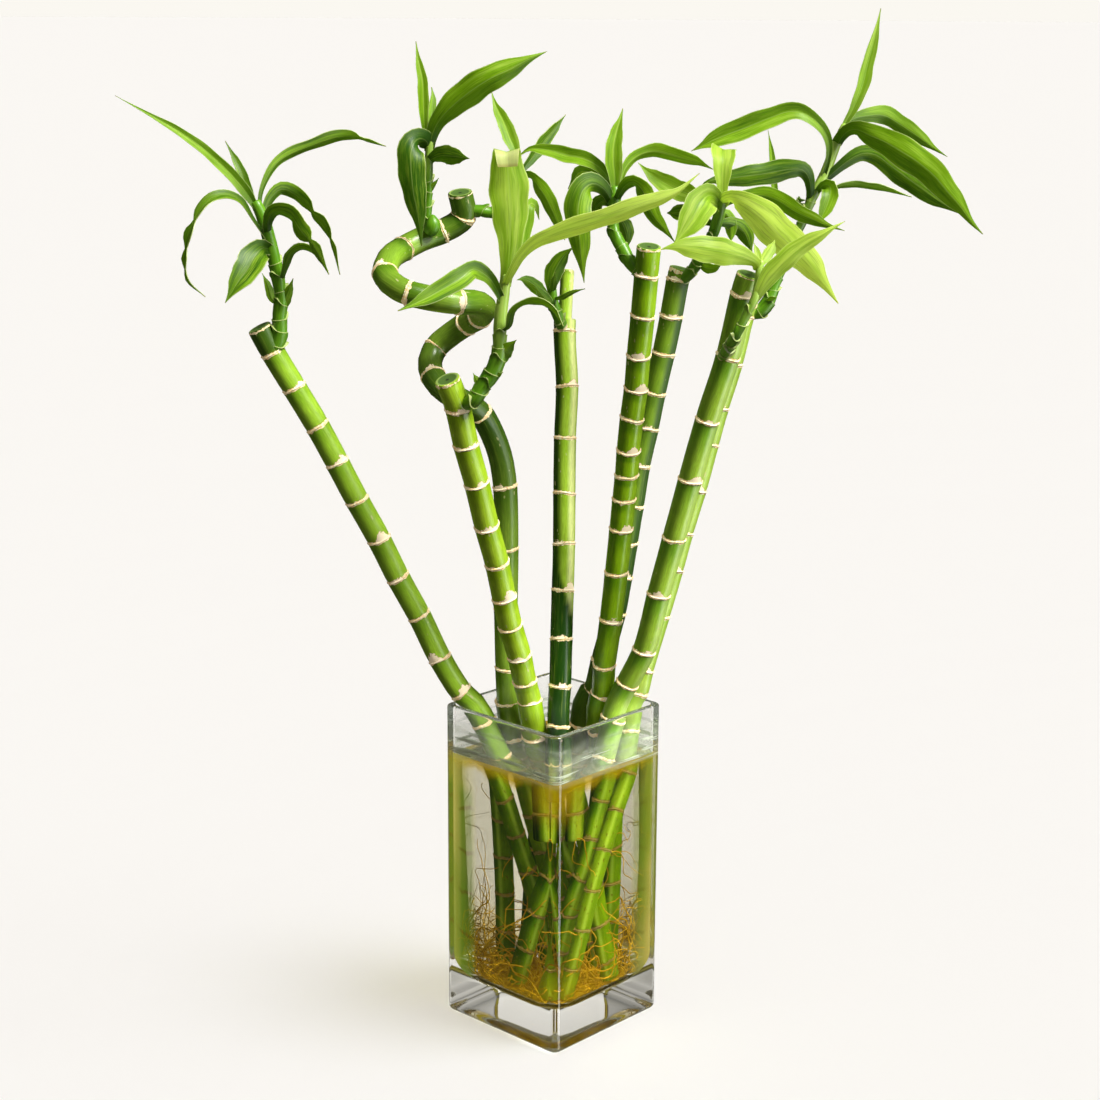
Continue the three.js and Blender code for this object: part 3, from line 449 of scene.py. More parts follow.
def floor_rings(gap=0.0, steps=12):
    """Rings down the round at the foot of the inside, and one on the flat floor."""
    rings = []
    for step in range(steps + 1):
        angle = math.radians(90 * step / steps)
        inset = FLOOR_ROUND * (1 - math.cos(angle))
        z = FLOOR_LEVEL + gap + FLOOR_ROUND * (1 - math.sin(angle))
        rings.append(rounded_square(VASE_HALF - WALL - gap - inset, CORNER + inset * 0.8, z))
    rings.append(rounded_square(VASE_HALF - WALL - gap - FLOOR_ROUND - 1, 13.5, FLOOR_LEVEL + gap))
    return rings


angles = [math.radians(90 * step / 5) for step in range(6)]
quarter_turn = [(math.sin(angle), math.cos(angle)) for angle in angles]
outline = [rounded_square(half, corner, z) for half, corner, z in (
    (19, 8, 1.5), (23, 7, 1.4), (26, 6, 1.1), (28.5, 5, 0.6), (30.2, 4.5, 0.15), (31, 4, 0))]
outline.append(rounded_square(VASE_HALF - FOOT - 0.5, CORNER, 0))
sections = [(VASE_HALF - FOOT + FOOT * sine, FOOT - FOOT * cosine) for sine, cosine in quarter_turn]
sections += [(VASE_HALF, z) for z in (FOOT + 0.6, 30, 80, 130, VASE_TOP - EDGE - 0.6)]
sections += [(VASE_HALF - EDGE + EDGE * cosine, VASE_TOP - EDGE + EDGE * sine)
             for sine, cosine in quarter_turn]
sections += [(VASE_HALF - WALL + LIP_EDGE - LIP_EDGE * sine, VASE_TOP - LIP_EDGE + LIP_EDGE * cosine)
             for sine, cosine in quarter_turn]
outline += [rounded_square(half, CORNER, z) for half, z in sections]
outline += [inner_ring(z) for z in (VASE_TOP - 1.5, 130, 80, FLOOR_LEVEL + FLOOR_ROUND + 0.8)]
outline += floor_rings()

glass = new_material("clear_glass")
# Clear pressed glass. Lamp light passes it as if it were a thin pane, so that the water and
# the roots inside are lit. Dried splashes haze the inside above the water.
place = add("place")
height = add("split", place)["Z"]
rays = add("rays")
# Painted shade: the glass is darkened where it is seen edge on, for the dark lines along its edges
painted_edge_shade = add("ramp", add("facing"), 0.7, 0.95, 0.0, 0.8)
glass_colour = add("blend", painted_edge_shade, "#fbfbfa", "#565b55")
clear = add("glass", glass_colour, 0.0, 1.5)
# Painted glow for a ray caught in the glass, in place of the light it would carry
clear = add("mix", add("more", rays["Glossy Depth"], TRAPPED), clear, add("emission", "#9aa096", 0.8))
pane = add("transparent", "#eef3f0")
haze = add("ramp", speckle(place, 60, (1, 1, 5), 5, 0.62), 0.45, 0.75)
runs = add("ramp", speckle(place, 110, (0.3, 0.3, 5), 3, 0.5), 0.57, 0.64)
haze = add("plus", add("most", add("times", haze, 0.34), add("times", runs, 0.8)), 0.12)
splashed = add("times", add("ramp", height, 0.134, 0.138), add("ramp", height, 0.157, 0.143))
clean = add("mix", rays["Is Shadow Ray"], clear, pane)
add("output", add("mix", add("times", haze, splashed), clean, add("diffuse", "#c0c8b4")))

vase = finished("glass_vase", stacked(outline), [glass], "vase", sharp=80)

# %% [markdown]
# The water's skin lies a tenth of a millimetre inside the glass, so that a ray always meets
# glass and water in the right order and no thin gap of air shows as silver. It creeps up the
# glass in a small curve at its edge. Its yellow comes from absorption in its volume, so it
# deepens where the sight line is long. A tinted surface would be the same all over. Only what
# sits on the skin is painted there: a golden film along the ragged waterline, the front corner
# and the foot, and a green glow with a darker notched strip at the two side corners, which
# stands for the stalks that the real glass mirrors. A ray that comes straight from the glass
# is only bent, not mirrored, so no bright room lies over the plant.

# %% Water
WATER_LEVEL = 135
SOAK = -0.1

creep = [(0.0, 1.5), (0.25, 0.95), (0.7, 0.45), (1.4, 0.16), (2.6, 0.04), (4.5, 0.0), (7.0, 0.0)]
surface = [inner_ring(WATER_LEVEL + rise, SOAK + inset) for inset, rise in creep]
walls = [inner_ring(z, SOAK) for z in (WATER_LEVEL + 0.9, 110, 70, FLOOR_LEVEL + FLOOR_ROUND + 0.8)]
water_rings = surface[::-1] + walls + floor_rings(SOAK)

water = new_material("plant_water")
# Water yellowed by the roots, with a golden film at the waterline, the corners and the foot
place = add("place")
parts = add("split", place)
beside = add("absolute", parts["X"])
sides = add("ramp", beside, 0.035, 0.05)
ragged = add("times", add("minus", speckle(place, 70, (1, 1, 0.3), 4), 0.5), 0.016)
waterline = add("ramp", add("plus", parts["Z"], ragged), 0.1285, 0.1345)
hanging = add("times", add("ramp", beside, 0.014, 0.002), add("ramp", parts["Z"], 0.11, 0.132))
foot = add("times", add("ramp", parts["Z"], 0.05, 0.018), add("ramp", beside, 0.04, 0.0, 0.1, 0.5))
film = add("most", add("most", add("times", sides, 0.3), waterline), add("most", hanging, foot))
upright = add("split", add("normal"))["Z"]
film = add("times", film, add("ramp", add("absolute", upright), 0.8, 0.4, 0.15, 1.0))
golden = add("blend", add("times", film, 0.85), "#ffffff", "#d4b800")
golden = add("blend", add("times", sides, 0.3), golden, "#ccd86c")
algae = add("mix", 0.5, add("diffuse", "#c4a402"), add("translucent", "#dcc002"))
# Painted glow: part of the golden film gives light of its own
algae = add("mix", 0.35, algae, add("emission", "#d4b004"))
clear, inward = [add(kind, golden, 0.0, 1.333) for kind in ("glass", "refraction")]
rays = add("rays")
straight = add("less", rays["Glossy Depth"], 0.5)
from_glass = add("times", within(rays["Transmission Depth"], 1.0, 0.5), straight)
clear = add("mix", from_glass, clear, inward)
# Painted glow for a ray caught in the water and glass, in place of the light it would carry
clear = add("mix", add("more", rays["Glossy Depth"], TRAPPED), clear, add("emission", "#a89c24", 0.8))
clear = add("mix", add("times", film, 0.46), clear, algae)
swirls = add("ramp", speckle(place, 32, (1, 1, 0.35), 2), 0.4, 0.6)
mottled = add("blend", swirls, "#8ea83c", "#dcd070")
strip = add("times", add("ramp", beside, 0.0365, 0.0395), add("ramp", beside, 0.0465, 0.0435))
strip = add("times", strip, add("ramp", parts["X"], 0.0, -0.02, 0.5, 1.0))
strip = add("times", strip, add("ramp", parts["Z"], 0.126, 0.116))
notch = add("ramp", add("fold", add("plus", parts["Z"], ragged), 0.011), 0.0014, 0.0004)
mottled = add("blend", add("times", strip, 0.85), mottled, "#4c7812")
mottled = add("blend", add("times", strip, add("times", notch, 0.7)), mottled, "#5c4a0c")
side_glow = add("plus", add("times", sides, 0.42), add("times", strip, 0.3))
clear = add("mix", side_glow, clear, add("emission", mottled))
pane = add("transparent", "#c4c27c")
tint = add("absorption", "#e0d058", 5.0)
add("output", add("mix", rays["Is Shadow Ray"], clear, pane), tint)

water_body = finished("water", stacked(water_rings), [water], "water", sharp=80)
floor_sun.light_linking.blocker_collection = group("shades_the_floor", vase, water_body)

# %% [markdown]
# These are the places that the plant was traced from. Each stalk has its radius in mm, how far
# behind the vase's middle it is at its top and at the rim, its cut top and then every leaf
# scar as picture points, and its way down inside the vase in mm. The curled stalk and the
# shoots have a depth at each point instead. A stem's points end with its radius. A leaf's row
# has its name, width in mm, roll about its rib in degrees, the share of its length where it is
# widest, and then its rib from base to tip. Drawing them as curves by hand gives the same, but
# numbers in rows can be checked and changed one by one.

# %% Places of the stalks and shoots
def rows(text):
    """Tuples of numbers from rows that commas part."""
    return [tuple(float(number) for number in row.split()) for row in text.split(",")]


def leaves(text):
    """Leaves by name, from rows of name, width, roll and belly, a colon and the rib."""
    found = {}
    for row in text.split(";"):
        head, rib = row.split(":")
        name, wide, roll, belly = head.split()
        found[name] = dict(wide=float(wide), roll=float(roll), belly=float(belly), rib=rows(rib))
    return found


STALKS = {
    "a": dict(radius=5.6, depth=(-22, -1.6),
        above=rows("""
    259 327, 272 351, 294 387, 317 425, 337 462, 357 500, 379 539, 398 577, 419 615, 440 658, 461.5 692"""),
        under=rows("""
    -38.6 0.1 161, -18.5 0 120, -7.5 2.2 93, 2 3.6 68, 9 3 43, 14.6 1.6 20.5""")),
    "b": dict(radius=5.8, depth=(-58, -6),
        above=rows("""
    447 379, 457.7 407, 465.7 443.8, 476.7 483, 486.5 525, 497 563, 504 597, 510 624.5, 519.5 656,
    524.6 680.5, 530 701"""),
        under=rows("""
    -11 -6.2 161, -5.3 3.4 130, 4 2.6 99, 8.4 -0.8 85, 13 -5.6 68, 17.2 -7.6 50, 24 -8.3 21""")),
    "c": dict(radius=5.8,
        above=rows("""
    460 192 16, 463 217 19, 443 231 18, 422 239 14, 403 249 7, 390 258 -3, 385 273 -13, 392 284 -21,
    408.5 293 -25, 435 299 -24, 459 302 -19, 475 302.5 -12, 484 307 -4, 480 316 5, 466 324 13, 450 335 17,
    436.5 347 17, 430 362 12, 433.5 377 4, 443 389 -3, 460 400 -5, 481 414 0, 491 431 3, 500 455 5,
    505 485.5 6, 506.5 549 7, 506 608 8, 507 668 8, 508 701 8"""),
        rings=rows("""
    463 217 19, 443 231 18, 403 249 7, 385 273 -13, 408.5 293 -25, 459 302 -19, 480 316 5, 466 324 13,
    436.5 347 17, 433.5 377 4, 481 414 0, 505 485.5 6, 506.5 549 7, 506 608 8, 507 668 8"""),
        under=rows("""
    -22.5 8.6 161, -17 12 120, -12.2 16 67, -10.5 18.5 20""")),
    "d": dict(radius=5.4, depth=(42, -3), neck=(567.5, 270, 3.3),
        above=rows("""
    564.7 331, 567 387, 565 438, 564.4 493, 564 543, 562.7 590, 561.4 638.7, 560 685.5"""),
        under=rows("""
    2.5 -4.4 161, 2.3 -16.8 99""")),
    "e": dict(radius=5.5, depth=(-42, 2.6),
        above=rows("""
    649 246, 646.4 273.8, 642.8 315, 638.7 355, 636 388, 632 417, 628.6 449, 626.6 474, 624 498.6,
    621 528, 616.5 571, 611 619, 604.5 664, 602 694"""),
        under=rows("""
    22 2.4 161, 21.8 8 125, 20.5 12 85, 17.5 14.8 20""")),
    "f": dict(radius=5.4, depth=(4, 14.2),
        above=rows("""
    681 268, 678 279, 671.3 316, 663.7 353, 654.5 393, 647.5 427.6, 639.3 464.6, 633 504, 627 541,
    621.5 576, 615 612, 602 660, 593 691"""),
        under=rows("""
    16.9 14 161, 12 15.8 125, 7 16 85, 2.5 17.8 20""")),
    "g": dict(radius=5.5, depth=(-50, -12.4),
        above=rows("""
    749 274, 743 293, 728 356, 707.3 419.6, 690.2 479.3, 674.2 537.4, 658.8 593.7, 644 650"""),
        under=rows("""
    29.9 -7.2 161, 20.8 -9.9 127, 15.6 -11 111, 9 -14.4 86, 1.5 -14.5 68, -4 -13 50, -12 -11 20.5""")),
    "h": dict(radius=5, depth=(4, 2.6),
        above=rows("""
    748 300, 744 314, 732.5 362, 718.6 406.7, 708.4 443.7, 696.3 488.7, 683.5 530.7, 673 569.6, 660 613.8,
    644 668, 638 692"""),
        under=rows("""
    38.5 1.7 161, 33.3 -3.5 128, 28 -11.3 113, 19 -21.3 86, 13.8 -26 68, 9 -28.5 50, 0.4 -31 21""")),
}

SHOOTS = {
    "shoot_a": dict(depth=-22, stem=rows("""
    273 353 0 3.4, 279 338 0 3.8, 279.5 315 0 3.3, 281 298 0 3, 276 268 0 3, 270 243 0 3.1, 263 218 0 3,
    255 201 0 2.4"""),
        leaves=leaves("""
    long_left 5.4 15 0.2: 263 219 0, 243.3 188.7 -2, 214 158 -6, 183 134 -12, 115 95.5 -24;
    young 4.5 20 0.45: 262 217 1, 249 193 4, 240.4 169.6 6, 233 155 8, 225.3 141 9;
    right_high 7.4 42 0.66: 263 222 1, 259.8 206 4, 262 188.7 7, 277 162.3 13, 309.4 146 22, 346 136 30,
    386 146 36;
    left_droop 7.4 62 0.7: 267 241 -1, 253 219 -6, 240 200 -12, 224 194.5 -18, 208 200.5 -23,
    193.5 223.9 -28, 185.4 256.2 -30, 188 279.6 -31, 205.2 297.2 -32;
    right_droop 7.4 40 0.45: 269 238 1, 265.4 212 5, 271 197.5 8, 281.5 188.7 11, 297.6 196 16,
    315 215 20, 330 237 23, 340.2 274.5 25;
    right_low 9 20 0.5: 270 244 -1, 267.6 224 -4, 273 212 -7, 290 214 -13, 300.6 229.8 -17, 314 246 -20,
    329.2 274.5 -22;
    right_small 6 40 0.6: 280 286 0, 285.9 266.4 -5, 290.3 254.7 -8, 299 248 -11, 312 251 -15,
    328.4 270.8 -18;
    left_broad 13 8 0.4: 272 250 0, 262 248 -6, 253.6 258 -12, 247 270 -16, 238.9 281 -19,
    225.1 303.1 -22;
    bract_left 4 20 0.4: 280 305 0, 272.7 298.7 -3, 268 285 -4, 262 273 -4;
    bract_right 5 10 0.3: 281 312 0, 287 296 -2, 293.2 278.2 -4""")),
    "shoot_b": dict(depth=-60, stem=rows("""
    462 405 6 3, 474 400 0 3.5, 481 388 0 3.6, 490 376 0 3.9, 497 362 0 3.6, 499.5 346 0 3.1, 500 328 0 3,
    501.5 309 0 2.8, 504 293 0 2.5, 507 274 -1 1.9"""),
        leaves=leaves("""
    broad_upright 17 3 0.62: 505 288 0, 508 265 -3, 510 241.4 -5, 510 215 -6, 509.3 190 -6, 507.5 170 -6,
    506.8 156 -5.5, 506.8 151.6 -8, 507 154 -11, 507.6 167 -12;
    folded 6.5 20 0.6: 505 289 1, 513 265 4, 520.8 250 7, 525.9 222.7 10, 530 204 13, 536 207 17,
    539 219.6 20;
    long_right 11 30 0.55: 505 290 -1, 512 274 -6, 522 256 -10, 535 244 -13, 551.4 237 -15,
    571.8 229.8 -16, 592.2 223.7 -16, 612.7 216.6 -15, 640 206.5 -13, 661.4 199.5 -10, 676.7 192.7 -7,
    699.7 173.3 -2;
    left_arch 9 22 0.6: 503 303 0, 497 290 -5, 491 280 -10, 482 272.5 -15, 472.9 269 -19, 461 278 -24,
    438.5 291.4 -29, 421.9 300.3 -32, 397.7 310.8 -35;
    right_arch 7 48 0.6: 500.5 333 0, 508.5 327 -4, 513 312 -8, 524 304 -11, 540 303 -14, 553.6 310.6 -17,
    563.5 326 -19;
    sheath 7.5 10 0.4: 493 368 0, 503 355 -2, 510 346 -3, 516.5 340 -4;
    bract_low 3.5 10 0.3: 482 387 0, 477 380 -2, 473 373 -2;
    bract_right 3 10 0.3: 492 374 0, 498 375 -3, 503 372.5 -4""")),
    "shoot_c_high": dict(depth=14,
        knob=rows("430 233 -6 2.8, 432.5 227 -7 3.9, 433 221 -7 3.2, 432 214.5 -7 0.9"),
        stem=rows("""
    427 238 0 2.4, 427 215 -2 2.2, 428 200 -2 1.9, 428.5 174 -2 2.1, 429 155 -2 1.9, 430 140 -2 1.7,
    431 129 -2 1.2"""),
        leaves=leaves("""
    upright 5 0 0.45: 430 144 -2, 425.5 131 -3, 423.8 107 -3, 422.5 80.2 -2, 418.5 60 0, 415.8 41.3 2;
    young 4 20 0.5: 430 142 -2, 430.7 123 1, 432 109.6 3, 433.2 97.6 5, 431.6 86.9 7;
    broad_right 13.5 8 0.48: 429.5 153 -2, 431.2 139 -4, 436 125.7 -6, 445.3 113 -9, 469.4 92.2 -14,
    492 77.5 -16, 509.5 69.5 -15, 527 60.1 -13, 547 51.4 -10;
    left_hanging 13 12 0.38: 429.5 148 -2, 426 140.5 -6, 418.5 138.5 -11, 413 144 -15, 410.8 158 -18,
    411.8 176.6 -19, 413.8 194 -19, 417.8 214 -18, 421.8 246.2 -16;
    right_small 9.5 8 0.5: 428.7 166 -2, 431 160 -4, 440 156 -8, 447.9 155.8 -11, 469.4 158.5 -16;
    bract 2.4 20 0.3: 428.2 194 -2, 432 187 -3, 438.6 177.9 -4""")),
    "shoot_c_tip": dict(depth=18, stem=rows("""
    465 213 0 2.2, 478 210.5 0 2.9, 490 212.5 1 2.7, 501 211 2 2.7, 510 202 3 2.4, 515 188 3 2.3,
    517 172 3 2.2, 517 162 3 1.5"""),
        leaves=leaves("""
    high_left 7 12 0.4: 517 168 3, 514.9 150 5, 509.5 136.4 8, 504.2 123 11, 496.2 107 15, 491.6 92 18;
    high_right 7 25 0.5: 517 176 3, 529 161.4 9, 537 150 14, 545.3 139 19, 554.5 127.8 23, 565.7 114.5 28;
    low_right 7.5 20 0.55: 515.5 186 3, 524 176 -2, 531 176 -6, 537.1 183.9 -10, 545.3 196.1 -14,
    553.5 212.4 -18, 559.6 226.7 -21, 565 240 -24""")),
    "shoot_d": dict(depth=40, stem=rows("""
    563 328 -1 2.8, 557 313 -4 2.8, 553 300 -5 2.4, 553 288 -5 1.7"""),
        leaves=leaves("""
    broad 9 10 0.45: 553.2 297 -5, 551.7 288 -6, 553 276 -7, 557.5 265 -8, 565 254 -9, 573 247.4 -10;
    left 6.5 15 0.45: 553 302 -5, 544 294 -8, 533 284 -11, 524 279 -14, 516.7 280 -17;
    left_low 5.5 15 0.45: 556 311 -4, 549 303 -9, 541 293 -12, 534 285 -14;
    thin_right 2.6 15 0.4: 553.5 299 -5, 562 297.5 -11, 573 292 -13, 585 288.5 -13;
    small 3.5 10 0.4: 553 293 -5, 553.5 284 -10, 555 272 -13""")),
    "shoot_e": dict(depth=-38, stem=rows("""
    643 275 -2 2.8, 634 267 0 2.9, 627 257 3 3, 621 246 6 3, 615.5 236 9 2.7, 613 223 12 2.5,
    613.7 210 15 2.8, 614.7 197 17 3, 615 186 18 2"""),
        leaves=leaves("""
    upright 7.8 5 0.42: 614.7 198 17, 615 176.7 18, 613.7 161.4 18, 613.7 147 19, 616.7 130.8 21,
    619.8 120.6 22, 622.9 108.4 24;
    long_left 7.2 12 0.5: 614.5 196 17, 608 178 20, 600 168 22, 590 161 24, 578 157 26, 566.7 155 28,
    553.5 151.2 29, 541 149 30, 529 149 31, 517.8 157 32;
    folded_left 8 20 0.45: 613.8 200 17, 604 183 23, 594 175 27, 584 171 30, 578 173 31, 573 181 31,
    568 189 31;
    broad_left 12.5 5 0.45: 613.8 204 16, 603 188 10, 592 183.5 6, 583 190 3, 578.5 205 1, 578 222.7 0,
    579.5 238 0, 580.5 250 1, 584.2 283 3;
    right_arch 8 38 0.65: 615 197 17, 620.6 183.5 20, 623.7 171.2 22, 630.8 161 24, 641 154 26,
    653.3 151 28, 667.6 154 29, 681.8 158 30, 697 162 31, 713 169 32;
    right_droop 8.3 15 0.5: 614.5 205 16, 620.6 192 12, 626 185 9, 634 182 6, 643 190.6 4, 648 203 3,
    654 216 2, 661.4 225.3 1, 670.6 236.5 1, 675 242 1;
    back_right 8 10 0.6: 613.6 214 15, 620 220 21, 625 230 26, 628 248 30;
    back_left 7 10 0.5: 614 207 15, 604 201 20, 597 206 23, 592 218 26""")),
    "shoot_f": dict(depth=2, stem=rows("""
    679 283 2 2.6, 690 273 -4 2.8, 698 262 -8 2.7, 706 249 -12 2.6, 713 234 -16 2.6, 718 218 -20 2.6,
    721 204 -23 2.5, 722.5 194 -24 1.8"""),
        leaves=leaves("""
    left 9.5 8 0.55: 720.5 207 -22, 710 201 -16, 698 198 -11, 686 193 -8, 676.7 189.6 -6, 661.4 181.4 -4,
    647 171.2 -3, 638 162.6 -3;
    broad_left 14 5 0.5: 720.5 205 -23, 714 196 -28, 707 196 -33, 701 203 -37, 695 214 -40, 688 225.3 -42,
    680 236 -43, 674 244 -44;
    upright 11.5 3 0.68: 721.5 203 -23, 722.5 192 -25, 722.5 181 -26, 722.5 171 -26, 723 161 -25,
    723 152 -21, 724 149.5 -14, 725 155 -6;
    long_right 16 4 0.42: 720.5 209 -22, 725 200 -27, 732 199 -30, 742 203 -32, 752.7 209.7 -34,
    768 223 -36, 782 237.2 -37, 797.4 251.2 -38, 811.4 266.5 -38, 822.9 281.8 -38, 838.2 303.5 -38;
    second_right 9 22 0.5: 720 208 -21, 733 200 -15, 748 196 -12, 765 196 -11, 779.5 201.5 -12,
    794.8 211.5 -14, 811.4 219 -16, 825.4 225 -17, 844.6 230.8 -18;
    hanging 6 10 0.6: 717 221 -19, 726 213 -15, 730.5 225 -12, 731 243 -11;
    back_right 8 10 0.6: 716.5 223 -19, 733 224 -12, 744 232 -9, 752 252 -7;
    back_left 8 10 0.7: 716 225 -19, 700 219 -9, 685 213 -1, 667 213 6;
    low_right 5 10 0.4: 698 263 -8, 707 268 -11, 714 268 -13, 722 264 -15""")),
    "shoot_g": dict(depth=-58, stem=rows("""
    723 357 14 2.6, 730 345.5 6 2.8, 736 335 -1 2.2, 742 324 -2 2, 748 312 -2 1.9, 755 298 -2 1.9,
    758 283 -1 1.7, 759.5 270 0 1.7, 762 260 1 1.2"""),
        leaves=leaves("""
    right 9.3 8 0.38: 750 308 -2, 756.5 298.4 -3, 766.7 280.5 -5, 777 269 -6, 788.4 257.6 -7, 804 245 -7,
    820.3 236 -7, 833 228 -6, 845.2 221.2 -4;
    left 12 4 0.5: 759 271 0, 757 264 -3, 748 258.5 -6, 735 254.5 -9, 715 250.5 -12, 695 248 -14,
    680 246.5 -15, 668 247.5 -15, 660.4 249.8 -15;
    small 5 10 0.5: 760 267 0, 765 258 4, 771 249 7, 775 240 10;
    narrow 3 15 0.4: 760.5 264 1, 757 252 4, 754 243 6""")),
    "shoot_h": dict(depth=5, stem=rows("""
    750 314 0 2.8, 760 311 0 3.6, 768 303 0 3.2, 774 288 2 2.3, 782 268 5 2.2, 792 245 8 2.1,
    802 222 11 2.1, 810 203 13 2.2, 818 187 15 2.3, 826 171 17 2.4, 835 147 19 2.4, 845 124 21 1.5"""),
        leaves=leaves("""
    spindle 6 12 0.45: 840 137 20, 846 122 21, 852 111.8 21, 858 98 21, 863.4 82.7 22, 867.3 65.8 23,
    871.9 49 24, 876.4 30.6 25, 881 8.4 27;
    right_high 9 18 0.45: 842 132 20, 852 120 24, 865.7 116 28, 884 115.5 32, 900.9 125 35,
    917.8 136.3 37, 933 147.7 39, 947.6 156.9 40;
    right_broad 14 5 0.45: 836 147 19, 841 138 15, 847 131.5 12, 856 129 9, 868.8 134.7 6, 885.6 142 3,
    900.9 151 1, 917.8 162 -1, 934.6 176 -3, 948.4 192.9 -4, 960.7 206.7 -5, 971.4 222 -5, 982.8 234.2 -6;
    right_dark 11 8 0.6: 820 184 15, 830.5 175 15, 845.8 162.3 16, 862.7 153.5 17, 876 155 18,
    890 165.3 18, 907 177.6 17, 923.9 189.8 16, 940.7 202 15, 961.4 214.3 14;
    right_narrow 5 48 0.5: 817 190 15, 832 189.3 20, 841 186 23, 856.5 185.2 26, 871.9 186.8 29,
    887 189.8 31, 911.7 196.7 34;
    low 8 5 0.5: 815.5 192 14, 825 184.5 9, 830.5 187 6, 829 199 3, 823 214 1, 817 226 0;
    left_high 10.5 15 0.74: 822 180 16, 827.5 160.7 13, 829 145.4 11, 824.4 131.7 9, 813.7 119.4 7,
    800 112 6, 787 112 6, 770 118 6, 750 126 6, 730 133.5 6, 712 141 6, 691 151.3 6;
    left_dark 10.5 8 0.5: 810.5 202 13, 811 190 9, 809 178 6, 803 170 3, 792 169 1, 778 171 0, 762 174 -1,
    745 176 -2, 728 178.5 -3, 712 180.5 -4, 704 184 -4, 698.2 190.6 -4;
    back_thin 3.4 10 0.6: 806 212 12, 795 212 17, 783 205 21, 776 194 23, 773 175 24, 771.8 155.5 25,
    768 130 26;
    back_left 8 5 0.6: 809 205 13, 804 208 18, 800 206 24, 799 196 31;
    bud_leaf 3.4 10 0.4: 768 305 0, 771 299 -4, 777 297 -6""")),
}

# What sets a few leaves apart: how wide a leaf is at its foot, where it narrows, and a blunt tip
for shoot, leaf, features in (
        ("a", "right_high", dict(neck=0.2, waists=(0.86,))),
        ("a", "left_droop", dict(neck=0.25, waists=(0.59, 0.73, 0.83))),
        ("a", "right_droop", dict(neck=0.25, waists=(0.58, 0.78))),
        ("a", "right_low", dict(waists=(0.72,))),
        ("b", "broad_upright", dict(neck=0.28, blunt=0.82)),
        ("c_high", "left_hanging", dict(neck=0.55)),
        ("f", "upright", dict(neck=0.3)),
        ("h", "left_high", dict(neck=0.22))):
    SHOOTS["shoot_" + shoot]["leaves"][leaf].update(features)

# %% [markdown]
# A stalk is a stack of short joints. At each leaf scar a thin papery lip stands out, cream
# to tan, a little tilted and uneven, and here and there a torn flap of old sheath points up
# from it. So each tube gets many rings of points just at the scars and few between them.
# Every point also stores how far the nearest scar is, its share of the joint, how much of a
# flap it carries and how dark its stretch of the stalk is, which is painted shade and shadow
# and the dark cut stubs at the tops. The shader can then draw crisp lines without a picture.
# A plain noise pattern could never follow the scars round a bend.

# %% Stalk shapes
# Rings at a scar: offset from it along the stalk and swell of the radius
LIP = [(-5.8, 0.0), (-4.6, 0.0), (-3.4, 0.0), (-2.4, -0.02), (-1.5, -0.06), (-0.8, -0.12), (-0.36, -0.12),
       (-0.2, 0.3), (0.0, 0.44), (0.22, 0.36), (0.45, 0.1), (0.8, 0.12), (1.6, 0.1), (3.0, 0.04)]
STALK_SIDES = 28
UNDERWATER_STEP = 20
# How far the shadow on stalk d slants across it
SLANT = 15


def stalk_path(stalk):
    """A stalk's curve from its top to its foot, and the length at each of its scars."""
    above = stalk["above"]
    if "depth" in stalk:
        first, last = above[0][1], above[-1][1]
        start, end = stalk["depth"]
        slope = (end - start) / (last - first)
        above = [(px, py, start + slope * (py - first)) for px, py in above]
    points = [seen(*place) for place in above]
    if "neck" in stalk:
        px, py, _ = stalk["neck"]
        points.insert(0, seen(px, py, stalk["depth"][0] + 8))
    marks = points[(0 if "neck" in stalk else 1):]
    if "rings" in stalk:
        marks = [seen(*place) for place in stalk["rings"]]
    path = Path(points + [Vector(place) for place in stalk["under"]])
    scars = [path.nearest(mark) for mark in marks]
    if "neck" in stalk:
        scars = scars[1:]
    while scars[-1] + UNDERWATER_STEP < path.length - UNDERWATER_STEP / 2:
        scars.append(scars[-1] + UNDERWATER_STEP)
    return path, scars


def stalk_rings(stalk, path, scars, step=5.0):
    """Rings from top to foot: length, radius, scar number or None and offset from the scar."""
    radius = stalk["radius"]
    rings = [(0.35, 0.3, None, 0), (0.3, radius * 0.5, None, 0), (0.05, radius - 1.1, None, 0)]
    rings += [(0.0, radius - 0.55, None, 0), (0.25, radius - 0.15, None, 0), (0.8, radius, None, 0)]
    if "neck" in stalk:
        thin = stalk["neck"][2]
        rings = [(0.0, thin - 0.6, None, 0), (0.6, thin, None, 0), (scars[0] - 6, thin, None, 0)]
    for number, scar in enumerate(scars):
        for offset, swell in LIP:
            if scar + offset > rings[-1][0] + 0.05:
                rings.append((scar + offset, radius + swell, number, offset))
        following = scars[number + 1] + LIP[0][0] if number + 1 < len(scars) else path.length - 1.2
        gap = following - rings[-1][0]
        count = max(1, round(gap / step))
        start = rings[-1][0]
        for part in range(1, count):
            rings.append((start + gap * part / count, radius, None, 0))
    rings += [(path.length - 1.0, radius, None, 0), (path.length - 0.3, radius - 0.4, None, 0)]
    rings += [(path.length, radius - 1.3, None, 0), (path.length, 0.3, None, 0)]
    return rings
